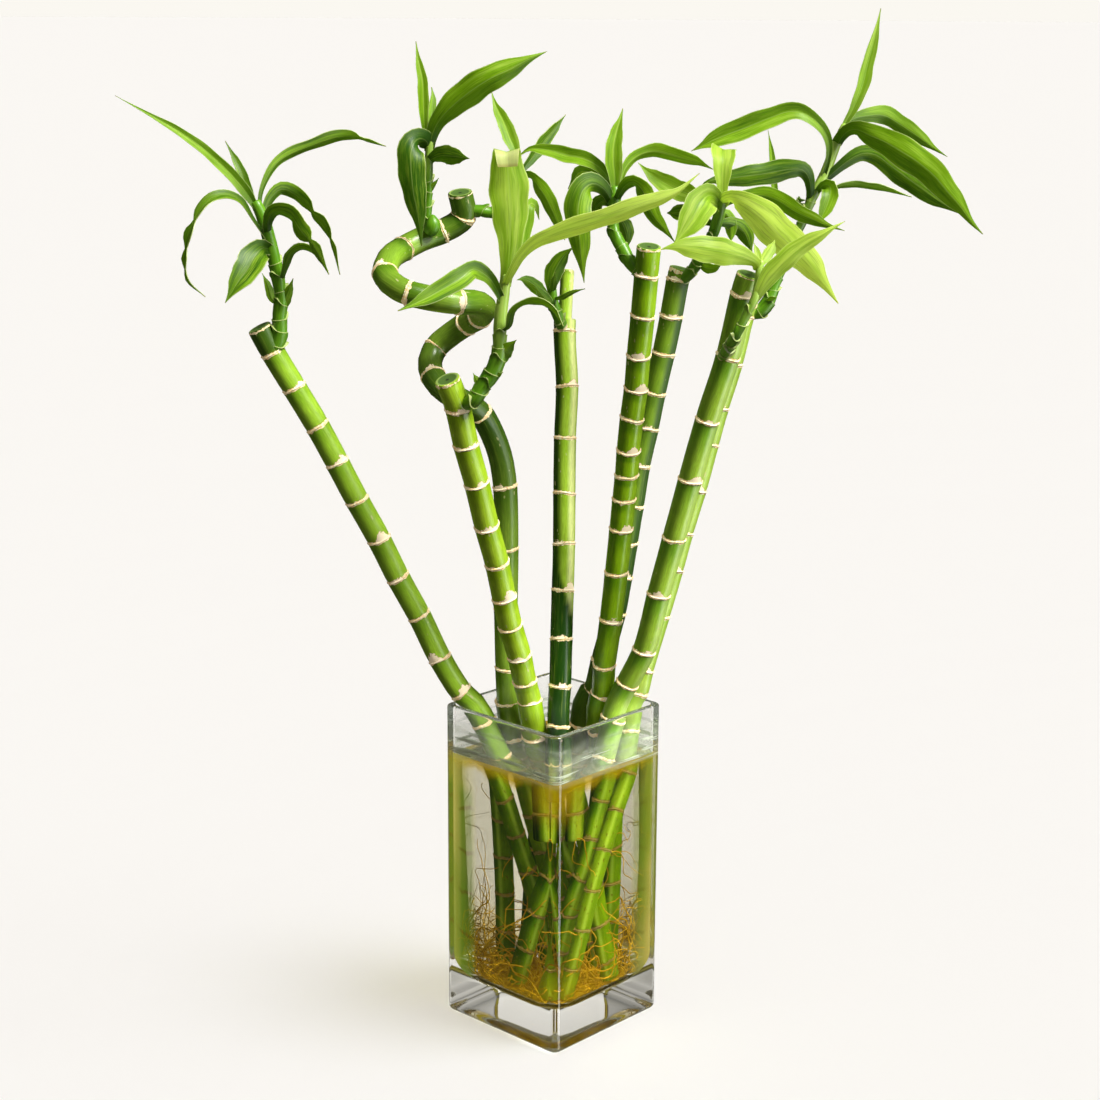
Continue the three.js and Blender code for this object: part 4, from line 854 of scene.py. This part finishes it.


# How dark the skin is at lengths from the top, as painted shade and shadow and the dark cut
# stubs, and each scar's flap: its side and its size
PAINTED_SHADOWS_AND_DARK_STUBS = {
    "a": [(0, 0.9), (11, 0.85), (14, 0.1), (40, 0.0)],
    "e": [(0, 0.25), (25, 0.0)],
    "c": [(0, 0.85), (20, 0.75), (32, 0.5), (48, 0.35), (90, 0.3), (104, 0.0), (116, 0.0), (130, 0.3),
          (180, 0.6), (215, 0.9), (248, 0.85), (275, 0.6), (330, 0.35), (420, 0.25)],
    "d": [(0, 0.0), (150, 0.05), (156, 1.0), (236, 1.0), (250, 0.15), (300, 0.0)],
    "f": [(0, 0.25), (60, 0.3), (110, 0.45), (150, 0.7), (240, 0.6)],
}
FLAPS = {
    "a": {1: (0.7, 0.5), 3: (0.6, 0.8), 5: (0.5, 1.0), 8: (-0.4, 1.1), 9: (0.5, 0.9)},
    "b": {0: (0.3, 0.5), 2: (0.4, 0.6), 3: (0.2, 0.7), 5: (0.6, 1.2), 7: (0.0, 0.6), 9: (0.3, 0.6)},
    "c": {3: (-0.4, 0.8), 5: (0.2, 0.7), 9: (0.3, 0.6), 11: (-0.4, 0.6)},
    "d": {0: (0.1, 0.4), 1: (0.5, 0.6), 3: (0.2, 0.4), 5: (0.7, 0.9)},
    "e": {2: (0.0, 0.9), 3: (0.5, 1.0), 5: (0.4, 0.9), 8: (0.5, 0.8), 10: (0.2, 0.6)},
    "f": {1: (0.1, 0.6), 4: (0.0, 0.5), 8: (0.3, 0.8)},
    "g": {0: (0.3, 0.8), 2: (0.2, 0.5), 3: (0.4, 0.9), 5: (-0.1, 0.8), 6: (0.2, 0.6)},
    "h": {2: (0.2, 0.6), 4: (0.1, 0.9), 6: (0.3, 0.7), 8: (0.2, 0.8)},
}


def shadow_and_stub_darkness_at(name, length):
    """How dark a stalk's skin is at a length from its top, from 0 to 1: painted shade and shadow, and the
    dark cut stubs.
    """
    steps = PAINTED_SHADOWS_AND_DARK_STUBS.get(name, [(0, 0)])
    for (start, first), (end, second) in zip(steps, steps[1:]):
        if length <= end:
            return first + (second - first) * (length - start) / (end - start)
    return steps[-1][1]


def build_stalk(name, stalk, number):
    chance = random.Random(number)
    path, scars = stalk_path(stalk)
    rings = stalk_rings(stalk, path, scars)
    spots = frames(path, [ring[0] for ring in rings])
    waves = [[chance.uniform(0, math.tau) for _ in range(3)] for _ in scars]
    flaps = [(chance.uniform(-0.9, 0.9), chance.choice((0, 0, 0, 0.5))) for _ in scars]
    for index, flap in FLAPS[name].items():
        flaps[index] = flap
    bm = bmesh.new()
    skin = layer(bm, "skin")
    marks = layer(bm, "marks")
    shade = layer(bm, "shade", "float")

    def spot(row, column, vertex):
        length, radius, scar, offset = rings[row]
        centre, across, other, along = spots[row]
        angle = column / STALK_SIDES * math.tau
        outward = across * math.cos(angle) + other * math.sin(angle)
        facing = (view_axis - along * view_axis.dot(along)).normalized() * -1
        beside = facing.cross(along)
        lift = 0.0
        flap = 0.0
        if scar is not None:
            first, second, third = waves[scar]
            lift = 0.4 * math.sin(angle + first) + 0.18 * math.sin(2 * angle + second)
            lift += 0.1 * math.sin(5 * angle + third)
            where, size = flaps[scar]
            middle = beside * where + facing * math.sqrt(1 - where * where)
            near = max(0.0, outward.dot(middle)) ** 4
            if offset <= 0 and size > 0:
                flap = size * near + offset / 5.5 + 0.35
                radius += 0.5 * min(max(flap - 0.35, 0.0), 0.6)
        uneven = 0.09 * noise.noise(centre * 0.06 + outward * 0.7 + Vector((number * 9, 0, 0)))
        uneven *= min(1.0, radius / 3)
        vertex[skin] = (radius * math.cos(angle), radius * math.sin(angle), length + number * 50)
        place = bisect.bisect_right(scars, length)
        before = scars[place - 1] if place else -12.0
        after = scars[place] if place < len(scars) else path.length + 12
        if scar is not None:
            distance = abs(offset)
            share = 0.0 if offset >= 0 else 1.0
        else:
            distance = min(length - before, after - length)
            share = (length - before) / (after - before)
        if length < 3:
            distance = min(distance, abs(length - 1.3))
        vertex[marks] = (distance, share, flap)
        # Painted shade and shadow along the stalk and the dark cut stubs; on d the shadow slants across it
        slant = SLANT * outward.dot(beside) if name == "d" and length < 200 else 0
        vertex[shade] = shadow_and_stub_darkness_at(name, length - slant)
        return centre + along * lift + outward * (radius + uneven)

    wrapped_grid(bm, STALK_SIDES, len(rings), spot)
    rind = stalk["radius"] - 0.5
    cut = [] if "neck" in stalk else [
        face for face in bm.faces if max(vertex[skin].xy.length for vertex in face.verts) < rind]
    for face in cut + fill_ends(bm):
        if face.calc_center_median().z > 100:
            face.material_index = 1
    return bm

# %% [markdown]
# The skin of a stalk is waxy, so it is smooth and gleams. Its green has fine lengthwise
# streaks, pale nicks and two tones: dark just below a scar, lighter above the next one. The
# streaks use the coordinate stored on the skin, in real millimetres round and along the
# stalk, so they follow every bend without a seam. Each stalk has its own pair of greens, and
# its own painted shade on the left and painted light in a colour of its own on the right, as
# the photograph shows them. Behind the glass the skin is dulled with painted shade. Under water
# it is matt and yellower, with brown specks and scars, a painted highlight down its middle and
# a little painted glow for the light that the water scatters. The cream scars and flaps glow a
# little with painted light too. One material for all eight would be shorter, but they would
# look like copies of one stalk.

# %% Stalk finish
def stalk_material(name, dark, light, left_dark, painted_light_colour, painted_light_share, gloss, painted_light_at_edge):
    material = new_material(name)
    # Waxy green stalk skin with cream leaf scars
    skin = add("vector", attribute_name="skin")
    marks = add("split", add("vector", attribute_name="marks"))
    distance, share, flap = marks["X"], marks["Y"], marks["Z"]
    patches = speckle(skin, 0.12, (1, 1, 0.35), 2)
    streaks = speckle(skin, 1.1, (1, 1, 0.05), 4)
    fine = speckle(skin, 3.4, (1, 1, 0.07), 2)
    fade = add("ramp", add("plus", share, add("times", patches, 0.5)), 0.2, 0.9)
    green = add("blend", fade, dark, light)
    around = add("split", skin)["X"]
    # Painted shade on the left side of the stalk, and painted light in a colour of its own on the right
    left = add("times", add("ramp", around, -0.4, -4.0), left_dark)
    right = add("times", add("ramp", around, 0.6, 3.4), painted_light_share)
    right = add("times", right, add("ramp", around, 3.9, 5.4, 1.0, painted_light_at_edge))
    green = add("blend", left, green, "#1e4403")
    green = add("blend", right, green, painted_light_colour)
    # Painted shade and shadow along the stalk, and the dark cut stubs, from the stored darkness
    green = add("blend", add("attribute", attribute_name="shade"), green, "#1e4408")
    paler = add("blend", add("times", add("ramp", streaks, 0.52, 0.8), 0.25), green, "#c2dc55")
    deeper = add("blend", add("times", add("ramp", fine, 0.62, 0.35), 0.25), paler, "#274f10")
    nicks = add("ramp", speckle(skin, 0.55, (1, 1, 0.45), 1, 0.3), 0.74, 0.77)
    worn = add("blend", add("times", nicks, 0.6), deeper, "#cfc98f")
    ragged = add("power", speckle(skin, 0.45, (1, 1, 1), 4), 1.8)
    scar = add("ramp", add("minus", distance, add("times", ragged, 2.4)), 0.25, 0.1)
    uneven = add("times", add("minus", speckle(skin, 0.6, (1, 1, 1), 4), 0.5), 1.1)
    torn = add("ramp", add("plus", flap, uneven), 0.47, 0.6)
    frayed = add("times", torn, add("minus", 1.0, torn))
    husk = add("most", scar, torn)
    edge = add("times", add("ramp", distance, 1.5, 0.5), 0.55)
    shaded = add("blend", edge, worn, "#31490f")
    cream = add("blend", add("ramp", streaks, 0.35, 0.7), "#efcb8c", "#fff4d2")
    height = add("split", add("place"))["Z"]
    wet = add("ramp", height, 0.136, 0.128)
    cream = add("blend", add("times", wet, 0.9), cream, "#746410")
    # Painted shade: the skin below the rim, behind the glass, is dimmed
    shaded = add("blend", add("ramp", height, 0.161, 0.153), shaded, "#d2d6c4", blend_type="MULTIPLY")
    shaded = add("blend", wet, shaded, "#c8cc64", blend_type="MULTIPLY")
    # Painted highlight down the middle of the skin under water
    painted_highlight = add("times", add("ramp", add("absolute", add("minus", around, 0.8)), 2.0, 0.0), 0.34)
    shaded = add("blend", add("times", painted_highlight, wet), shaded, "#c4e058")
    specks = add("times", add("times", add("ramp", speckle(skin, 0.7, (1, 1, 0.5), 2), 0.64, 0.7), wet), 0.7)
    shaded = add("blend", specks, shaded, "#5c4a08")
    cream = add("blend", add("times", torn, add("minus", 1.0, wet)), cream, "#ffecca")
    cream = add("blend", add("times", frayed, 3.0, use_clamp=True), cream, "#8a5c2c")
    skin_colour = add("blend", husk, shaded, cream)
    rough = add("ramp", husk, 0.0, 1.0, gloss, 0.75)
    bumps = add("bump", 0.35, 0.0002, streaks)
    # Painted glow: the cream scars and flaps give a little light of their own
    painted_glow = add("times", husk, 0.14)
    dry_skin = add("principled", skin_colour, rough, 1.45, bumps, skin_colour, painted_glow)
    matt = add("diffuse", skin_colour, bumps)
    # Under water the matt skin has a small share of painted glow, for light that the water scatters
    add("output", add("mix", wet, dry_skin, add("mix", 0.14, matt, add("emission", skin_colour))))
    return material


cut_face = new_material("cut_stalk_end")
# Dried cut through the stalk: dark green with a paler rind and a dark heart
skin = add("vector", attribute_name="skin")
flat_skin = add("stretch", skin, (1, 1, 0))
radius = add("length", flat_skin)
grain = speckle(flat_skin, 1.3, (1, 1, 1), 4)
flesh = add("blend", grain, "#2f4a17", "#5d8030")
rind = add("blend", add("ramp", radius, 4.1, 4.6), flesh, "#86a04c")
heart = add("blend", add("ramp", radius, 1.0, 0.6), rind, "#1d2a0c")
add("output", add("principled", heart, 0.6))

# Each stalk's pair of greens, and its sides: how dark the painted shade on the left is, the
# colour and share of the painted light on the right, how rough the skin is, and how much of
# that painted light is left at the very edge
GREENS = {
    "a": ("#8cbe24", "#acdc38"), "b": ("#9cc614", "#b8de30"), "c": ("#78a81e", "#a8d43c"),
    "d": ("#a4d030", "#b6de40"), "e": ("#7cb406", "#a4d814"), "f": ("#8cbc12", "#a8d820"),
    "g": ("#8ac82c", "#bcea46"), "h": ("#b4d84a", "#c2e060"),
}
SIDES = {
    "a": (0.4, "#8cb02c", 0.55, 0.32, 1), "b": (0.3, "#98c01c", 0.4, 0.27, 1),
    "c": (0.35, "#b8d858", 0.25, 0.27, 1), "d": (0.95, "#f4fca4", 0.85, 0.27, 0.1),
    "e": (0.65, "#b4dc38", 0.45, 0.27, 0.6), "f": (0.4, "#244e04", 0.9, 0.6, 1),
    "g": (0.6, "#d8f290", 0.5, 0.3, 0.7), "h": (0.0, "#9cc83c", 0.5, 0.3, 1),
}
for number, (name, stalk) in enumerate(STALKS.items()):
    bm = build_stalk(name, stalk, number)
    skin_finish = stalk_material("stalk_skin_" + name, *GREENS[name], *SIDES[name])
    finished(f"stalk_{name}_fine", bm, [skin_finish, cut_face], "stalk_" + name)

# %% [markdown]
# A shoot is a stem wrapped in overlapping leaf sheaths, with long pointed leaves that clasp
# it. Each leaf is a flat grid bent along its rib: it starts narrow and cupped round the stem,
# widens to its belly and draws out to a long tip. Its two halves fold up from the rib, its
# edges wave a little, and a thin thickness is added at the end. A few leaves narrow where they
# twist, and one has a blunt, faded tip that folds over. Painting leaves on flat cards is the
# quick way, but then the tip, the fold and the gleam along the rib would be missing.

# %% Leaf shapes
ACROSS = 8
FOLD = 0.28
LEAF_THICKNESS = 0.32
# How much a leaf narrows at a waist, and over what share of its length
WAIST_DEPTH = 0.72
WAIST_LENGTH = 0.035


def blade_width(share, belly, neck):
    """Half the width at a share of the length, as a part of the widest half."""
    if share < belly:
        return neck + (1 - neck) * math.sin(share / belly * math.pi / 2) ** 2
    past = (share - belly) / (1 - belly)
    drawn_out = min(max((past - 0.6) / 0.4, 0.0), 1.0)
    return max(math.cos(past * math.pi / 2), 0.0) ** 0.85 * (1 - 0.5 * drawn_out * (2 - drawn_out))


def build_blade(bm, leaf, depth, tone, chance):
    """Adds one leaf. tone says how pale it is, from about 0 to 1."""
    rib = [seen(px, py, offset + depth) for px, py, offset in leaf["rib"]]
    path = Path(rib)
    rows = min(max(round(path.length / 2.2), 14), 44)
    shares = [row / rows for row in range(rows + 1)]
    roll = math.radians(leaf["roll"])
    across = None
    spots = []
    for share in shares:
        centre, along = path.at(share * path.length)
        facing = along.cross(view_axis)
        clear = facing.length > 0.5
        facing = Matrix.Rotation(roll, 3, along) @ facing.normalized()
        if across is None:
            across = facing.copy()
        across = (across - along * across.dot(along)).normalized()
        if clear and not ("blunt" in leaf and share > 0.84):
            pull = 1 - 0.2 ** (8 / rows)
            across = across.lerp(facing, pull).normalized()
        spots.append((centre, across.copy(), along.cross(across)))
    side = -1 if sum(face.z for _, _, face in spots) < 0 else 1
    phase = [chance.uniform(0, math.tau) for _ in range(3)]
    ripples = chance.uniform(2.0, 4.0)
    twist = chance.uniform(-0.25, 0.25)
    blade = layer(bm, "blade")
    tones = layer(bm, "tone", "float")
    faded = layer(bm, "faded", "float")
    made = bmesh.ops.create_grid(bm, x_segments=ACROSS, y_segments=rows, size=1)["verts"]
    for vertex in made:
        x = vertex.co.x
        row = round((vertex.co.y + 1) / 2 * rows)
        share = shares[row]
        centre, sideways, face = spots[row]
        half = leaf["wide"] / 2 * blade_width(share, leaf["belly"], leaf.get("neck", 0.35))
        if share > leaf["belly"]:
            half = max(half, leaf["wide"] / 2 * leaf.get("blunt", 0.0) * (1 - 1.6 * max(0.0, share - 0.75)))
        for waist in leaf.get("waists", ()):
            half *= 1 - WAIST_DEPTH * math.exp(-((share - waist) / WAIST_LENGTH) ** 2)
        half = max(half, 0.12)
        cup = 0.75 * max(0.0, 1 - share / 0.16) ** 2
        open_part = math.sin(share * math.pi)
        lift = half * (FOLD * abs(x) + cup * x * x)
        lift += half * 0.1 * open_part * x * x * math.sin(share * ripples * math.tau + phase[0] + x)
        lift += half * twist * x * open_part * share
        wave = 1 + 0.05 * open_part * math.sin(share * 5 * math.tau + phase[1 if x > 0 else 2])
        vertex[blade] = (x, share * path.length, share)
        vertex[tones] = tone
        vertex[faded] = 0.6 if "blunt" in leaf and share > 0.88 else 0.0
        vertex.co = centre + sideways * (x * half * wave) + face * (side * lift)


STEM_SIDES = 20


def build_stem(bm, places, depth, chance, sheathed=True, pale=0.3):
    """A stem along picture points, with the slanting edges of its sheaths as low steps."""
    points = [seen(px, py, offset + depth) for px, py, offset, _ in places]
    path = Path(points)
    marks = [path.nearest(point) for point in points]
    radii = [place[3] for place in places]
    skin = layer(bm, "skin")
    age = layer(bm, "tone", "float")
    edges = []
    length = chance.uniform(3, 5)
    while sheathed and length < path.length * 0.62:
        edges.append((length, chance.uniform(0, 1) + math.pi * (len(edges) % 2)))
        length += chance.uniform(4.5, 7.0)
    stations = [(0.0, 0.0, None)]
    for number, (length, _) in enumerate(edges):
        for offset, step in ((-0.5, 0.22), (-0.15, 0.34), (0.0, 0.36), (0.1, -0.2), (0.6, -0.16)):
            stations.append((length + offset, step, number))
        stations.append((length + 2.6, 0.0, number))
    while stations[-1][0] + 2.6 < path.length - 0.6:
        stations.append((stations[-1][0] + 2.0, 0.0, None))
    stations += [(path.length - 0.6, 0.0, None), (path.length, -0.5, None)]
    spots = frames(path, [length for length, _, _ in stations])
    base = chance.uniform(0, 500)

    def spot(row, column, vertex):
        length, step, edge = stations[row]
        centre, across, other, along = spots[row]
        angle = column / STEM_SIDES * math.tau
        outward = across * math.cos(angle) + other * math.sin(angle)
        mark = min(max(bisect.bisect_right(marks, length), 1), len(marks) - 1)
        low, high = marks[mark - 1], marks[mark]
        share = min(max((length - low) / max(high - low, 1e-6), 0), 1)
        radius = max(radii[mark - 1] + (radii[mark] - radii[mark - 1]) * share + step, 0.3)
        slant = 0.0
        near = 9.0
        if edge is not None:
            beside_tip = max(0.0, math.cos(angle - edges[edge][1]))
            slant = 0.5 * math.cos(angle - edges[edge][1]) + 2.8 * beside_tip ** 5
            near = abs(length - edges[edge][0])
            if -0.3 < length - edges[edge][0] <= 0.05:
                radius += 0.9 * beside_tip ** 5
        vertex[skin] = (radius * math.cos(angle), near, length + base)
        vertex[age] = pale * length / path.length if length > 1.5 or not sheathed else -1.0
        return centre + along * slant + outward * radius

    wrapped_grid(bm, STEM_SIDES, len(stations), spot)


# How pale each shoot's stem and leaves are
TONES = {
    "shoot_a": dict(stem=0.1, usual=0.14, long_left=0.5, right_high=0.3, bract_left=0.3, bract_right=0.3),
    "shoot_b": dict(usual=0.3, broad_upright=0.75, folded=0.6, long_right=1.1, sheath=0.35),
    "shoot_c_high": dict(stem=0.8, usual=0.44, upright=0.6, left_hanging=-0.2, right_small=0.1),
    "shoot_c_tip": dict(stem=0.5, usual=0.36, high_left=0.6, high_right=0.12),
    "shoot_d": dict(stem=0.4, usual=0.2),
    "shoot_e": dict(stem=0.35, usual=0.32, upright=0.6, long_left=0.5, right_arch=0.6,
                    back_right=0.1, back_left=0.1),
    "shoot_f": dict(stem=0.6, usual=0.45, broad_left=0.75, upright=0.85, long_right=1.1, left=0.7,
                    back_right=0.15, back_left=0.15),
    "shoot_g": dict(usual=0.9, left=0.85),
    "shoot_h": dict(usual=0.48, spindle=0.65, right_dark=0.12, left_dark=0.08, back_left=0.15),
}


def build_shoot(name, shoot, number):
    """A shoot's mesh: solid leaves with material 0, and its stem with material 1."""
    chance = random.Random(100 + number)
    depth = shoot["depth"]
    bm = bmesh.new()
    tones = TONES[name]
    for leaf_name, leaf in shoot["leaves"].items():
        build_blade(bm, leaf, depth, tones.get(leaf_name, tones["usual"]), chance)
    bmesh.ops.recalc_face_normals(bm, faces=bm.faces)
    bmesh.ops.solidify(bm, geom=bm.faces[:], thickness=LEAF_THICKNESS)
    leaf_faces = len(bm.faces)
    build_stem(bm, shoot["stem"], depth, chance, pale=tones.get("stem", 1.0))
    if "knob" in shoot:
        build_stem(bm, shoot["knob"], depth, chance, sheathed=False)
    fill_ends(bm)
    for number, face in enumerate(bm.faces):
        face.material_index = 0 if number < leaf_faces else 1
    return bm

# %% [markdown]
# A leaf is satin on top, lets light through, and has fine veins that run side by side from
# base to tip. The grid stored a place on each blade: how far across, how far along in mm and
# the share of its length. Streaks stretched along that place make the veins, and a slower
# pattern the lighter bands of a young leaf. The foot and one half of a leaf are darkened with
# painted shade. A part of the light passes through as yellow-green, and each leaf also glows a
# little with painted light, a pale one more, for the light that its neighbours scatter. A leaf
# photograph mapped on would carry its own lighting.

# %% Leaf and stem finish
leaf_finish = new_material("leaf_blade")
# Fresh bamboo-like leaf, thin enough to glow against the light
parts = add("split", add("vector", attribute_name="blade"))
across, along, share = parts["X"], parts["Y"], parts["Z"]
tone = add("attribute", attribute_name="tone")
scaled = add("join", across, add("times", along, 0.02), tone)
veins = speckle(scaled, 16.0, (1, 0.25, 6), 2)
bands = speckle(scaled, 2.6, (1, 0.5, 6), 3)
shade = add("plus", tone, add("times", add("minus", bands, 0.5), 1.5))
dark = add("blend", add("ramp", shade, -0.1, 0.55), "#2f6202", "#88b80c")
green = add("blend", add("ramp", shade, 0.5, 1.2), dark, "#d8ee74")
hairlines = speckle(scaled, 36.0, (1, 0.2, 6), 2)
lined = add("blend", add("times", add("ramp", veins, 0.48, 0.7), 0.42), green, "#c6e24a")
lined = add("blend", add("times", add("ramp", veins, 0.5, 0.3), 0.42), lined, "#2c5c02")
lined = add("blend", add("times", add("ramp", hairlines, 0.52, 0.66), 0.22), lined, "#c6e24a")
# Painted shade on one half of the blade
half = add("times", add("ramp", across, 0.05, -0.05), add("ramp", tone, 0.9, 0.5, 0.1, 0.34))
lined = add("blend", half, lined, "#2c5a02")
# Painted shade at the foot of a darker leaf, where the crown shades it
foot = add("times", add("ramp", share, 0.36, 0.04), add("ramp", tone, 0.85, 0.4, 0.0, 0.85))
lined = add("blend", foot, lined, "#1f4c04")
from_rib = add("absolute", across)
ribbed = add("blend", add("times", add("ramp", from_rib, 0.07, 0.0), 0.35), lined, "#c4dc7c")
edged = add("blend", add("times", add("ramp", from_rib, 0.92, 0.99), 0.7), ribbed, "#e4f0a0")
edged = add("blend", add("attribute", attribute_name="faded"), edged, "#eee6b4")
blade_colour = add("blend", add("times", add("ramp", share, 0.97, 1.0), 0.6), edged, "#a58f45")
bumps = add("bump", 0.4, 0.0002, veins)
# Painted glow: every leaf gives a little light of its own, a pale one more, for what its neighbours scatter
painted_glow = add("times", add("ramp", tone, 0.1, 1.0, 0.05, 0.22), add("ramp", share, 0.0, 0.2))
top = add("principled", blade_colour, 0.42, 1.4, bumps, blade_colour, painted_glow)
glow_colour = add("blend", 0.5, blade_colour, add("blend", add("ramp", tone, 0.5, 0.9), "#b0d414", "#ecf690"))
glow = add("translucent", glow_colour)
add("output", add("mix", add("ramp", tone, 0.4, 0.9, 0.36, 0.55), top, glow))

stem_finish = new_material("shoot_stem")
# Green stem in clasping sheaths with thin pale edges
skin = add("vector", attribute_name="skin")
age = add("attribute", attribute_name="tone")
lines = speckle(skin, 1.5, (1, 0, 0.06), 3)
old = add("blend", lines, "#2f6a08", "#78b01c")
young = add("blend", lines, "#7fb324", "#c3dd6c")
stem_green = add("blend", add("ramp", age, 0.35, 0.8), old, young)
lip = add("ramp", add("split", skin)["Y"], 0.3, 0.05)
stem_colour = add("blend", add("times", lip, 0.45), stem_green, "#dcd89a")
husk = add("ramp", add("plus", age, add("times", speckle(skin, 0.9, (1, 1, 1), 3), 0.5)), -0.3, -0.5)
stem_colour = add("blend", husk, stem_colour, "#efd9ae")
add("output", add("principled", stem_colour, 0.36, 1.45))

for number, (name, shoot) in enumerate(SHOOTS.items()):
    bm = build_shoot(name, shoot, number)
    finished(name + "_fine", bm, [leaf_finish, stem_finish], name, sharp=60)

# %% [markdown]
# The roots are hundreds of thin wandering threads. Most lie tangled on the floor of the vase
# in a golden brown mat, some arch over it or climb the glass, and others curl out of the
# scars under water. Each is a thin tube along a random walk that is kept inside the glass,
# and the random numbers are seeded, so the tangle is the same every time. Hair particles would
# be lighter, but they aren't solid and can't be exported as a mesh.

# %% Roots
ROOT_SIDES = 5
chance = random.Random(12)


def kept_inside(point, margin=1.2):
    """Moves a point in between the walls and over the round floor of the vase."""
    drop = min(max(FLOOR_ROUND - (point.z - FLOOR_LEVEL), 0), FLOOR_ROUND)
    inset = FLOOR_ROUND - math.sqrt(FLOOR_ROUND ** 2 - drop ** 2)
    limit = (VASE_HALF - WALL - inset - margin) * math.sqrt(2) - 1.5
    reach = abs(point.x) + abs(point.y)
    if reach > limit:
        point = Vector((point.x * limit / reach, point.y * limit / reach, point.z))
    point.z = max(point.z, FLOOR_LEVEL + 0.7)
    return point


def wander(start, heading, steps, stride, swerve, sink, low, high):
    """Points of a random walk. sink pulls it down, and it stays between low and high."""
    points = [kept_inside(start)]
    for _ in range(steps):
        turn = Vector([chance.gauss(0, swerve) for _ in range(3)])
        heading = (heading + turn + Vector((0, 0, -sink))).normalized()
        point = kept_inside(points[-1] + heading * stride)
        point.z = min(max(point.z, low), high)
        if (point - points[-1]).length < stride * 0.3:
            heading = Vector((-heading.x, -heading.y, abs(heading.z)))
            continue
        points.append(point)
    return points


def root_tube(bm, points, radius):
    path = Path(points, steps=6)
    count = max(4, round(path.length / 2.6))
    lengths = [path.length * index / count for index in range(count + 1)]
    spots = frames(path, lengths)
    skin = layer(bm, "skin")
    base = chance.uniform(0, 900)

    def spot(row, column, vertex):
        centre, across, other, along = spots[row]
        angle = column / ROOT_SIDES * math.tau
        thin = radius * (1 - 0.5 * row / count)
        vertex[skin] = (thin * math.cos(angle), thin * math.sin(angle), lengths[row] + base)
        return centre + (across * math.cos(angle) + other * math.sin(angle)) * thin

    wrapped_grid(bm, ROOT_SIDES, count + 1, spot)


bm = bmesh.new()
bed = [rounded_square(half, corner, z) for half, corner, z in (
    (14, 9, 17.15), (21, 12, 17.15), (25, 12, 18.4), (26, 12, 19.6), (24, 12, 20.4), (14, 9, 20.8))]
skin = layer(bm, "skin")


def bed_spot(row, column, vertex):
    place = bed[row][column]
    vertex[skin] = place
    return place + Vector((0, 0, 0.8 * noise.noise(place * 0.35) if row > 2 else 0))


wrapped_grid(bm, len(bed[0]), len(bed), bed_spot)


def grow(start, heading, tops, steps, stride, swerve, sink, low, thick):
    """One root on a random walk, under a top picked from a few heights."""
    top = chance.choice(tops)
    points = wander(start, heading, chance.randint(*steps), chance.uniform(*stride), swerve, sink, low, top)
    if len(points) > 3:
        root_tube(bm, points, chance.uniform(*thick))


# The mat, the arching roots and the climbing roots
for _ in range(300):
    angle = chance.uniform(0, math.tau)
    start = flat(angle) * chance.uniform(2, 36)
    start.z = chance.uniform(18, 24)
    heading = Vector((chance.gauss(0, 1), chance.gauss(0, 1), chance.gauss(0, 0.25))).normalized()
    grow(start, heading, (21, 24, 28, 34), (6, 12), (3.5, 5.5), 0.5, 0.12, 17.8, (0.35, 0.6))
for _ in range(70):
    angle = chance.uniform(0, math.tau)
    start = flat(angle) * chance.uniform(3, 38)
    start.z = 20
    heading = Vector((chance.gauss(0, 0.8), chance.gauss(0, 0.8), chance.uniform(0.8, 1.8))).normalized()
    grow(start, heading, (28, 33, 39, 47), (8, 12), (5, 7), 0.28, 0.2, 18.5, (0.42, 0.62))
for _ in range(32):
    side = chance.choice((-1, 1))
    start = Vector((side * chance.uniform(24, 42), chance.uniform(-14, 14), chance.uniform(20, 40)))
    heading = Vector((-side * chance.uniform(-0.3, 0.6), chance.gauss(0, 0.5), 1.4)).normalized()
    grow(start, heading, (60, 75, 90, 105), (8, 13), (5, 7), 0.34, 0.03, 18.5, (0.28, 0.42))

# Roots out of the scars and the feet of the stalks
feet = []
for name, stalk in STALKS.items():
    path, scars = stalk_path(stalk)
    for scar in scars:
        point, _ = path.at(scar)
        if point.z < 100:
            feet.append((point, stalk["radius"]))
    feet.append((path.at(path.length - 2)[0], stalk["radius"]))
for point, radius in feet:
    for _ in range(chance.choice((0, 1, 2, 3)) + (3 if point.z < 60 else 0)):
        angle = chance.uniform(0, math.tau)
        heading = Vector((math.cos(angle), math.sin(angle), chance.uniform(-0.5, 0.2)))
        start = point + heading * (radius - 0.3)
        points = wander(start, heading, chance.randint(5, 11), chance.uniform(3, 5), 0.45, 0.14, 18, 120)
        if len(points) > 3:
            root_tube(bm, points, chance.uniform(0.2, 0.38))
fill_ends(bm)

root_finish = new_material("golden_root")
# Wet golden brown roots, with a little painted glow
skin = add("vector", attribute_name="skin")
along = speckle(skin, 0.06, (1, 1, 1), 3)
fibre = speckle(skin, 1.2, (1, 1, 0.2), 2)
brown = add("blend", add("ramp", along, 0.3, 0.7), "#8c6408", "#dcae2c")
root_colour = add("blend", add("times", fibre, 0.3), brown, "#5e4606")
# Painted glow: a small share of the roots' colour is their own light
add("output", add("mix", 0.08, add("diffuse", root_colour), add("emission", root_colour)))
finished("root_tangle", bm, [root_finish], "roots", sharp=80)
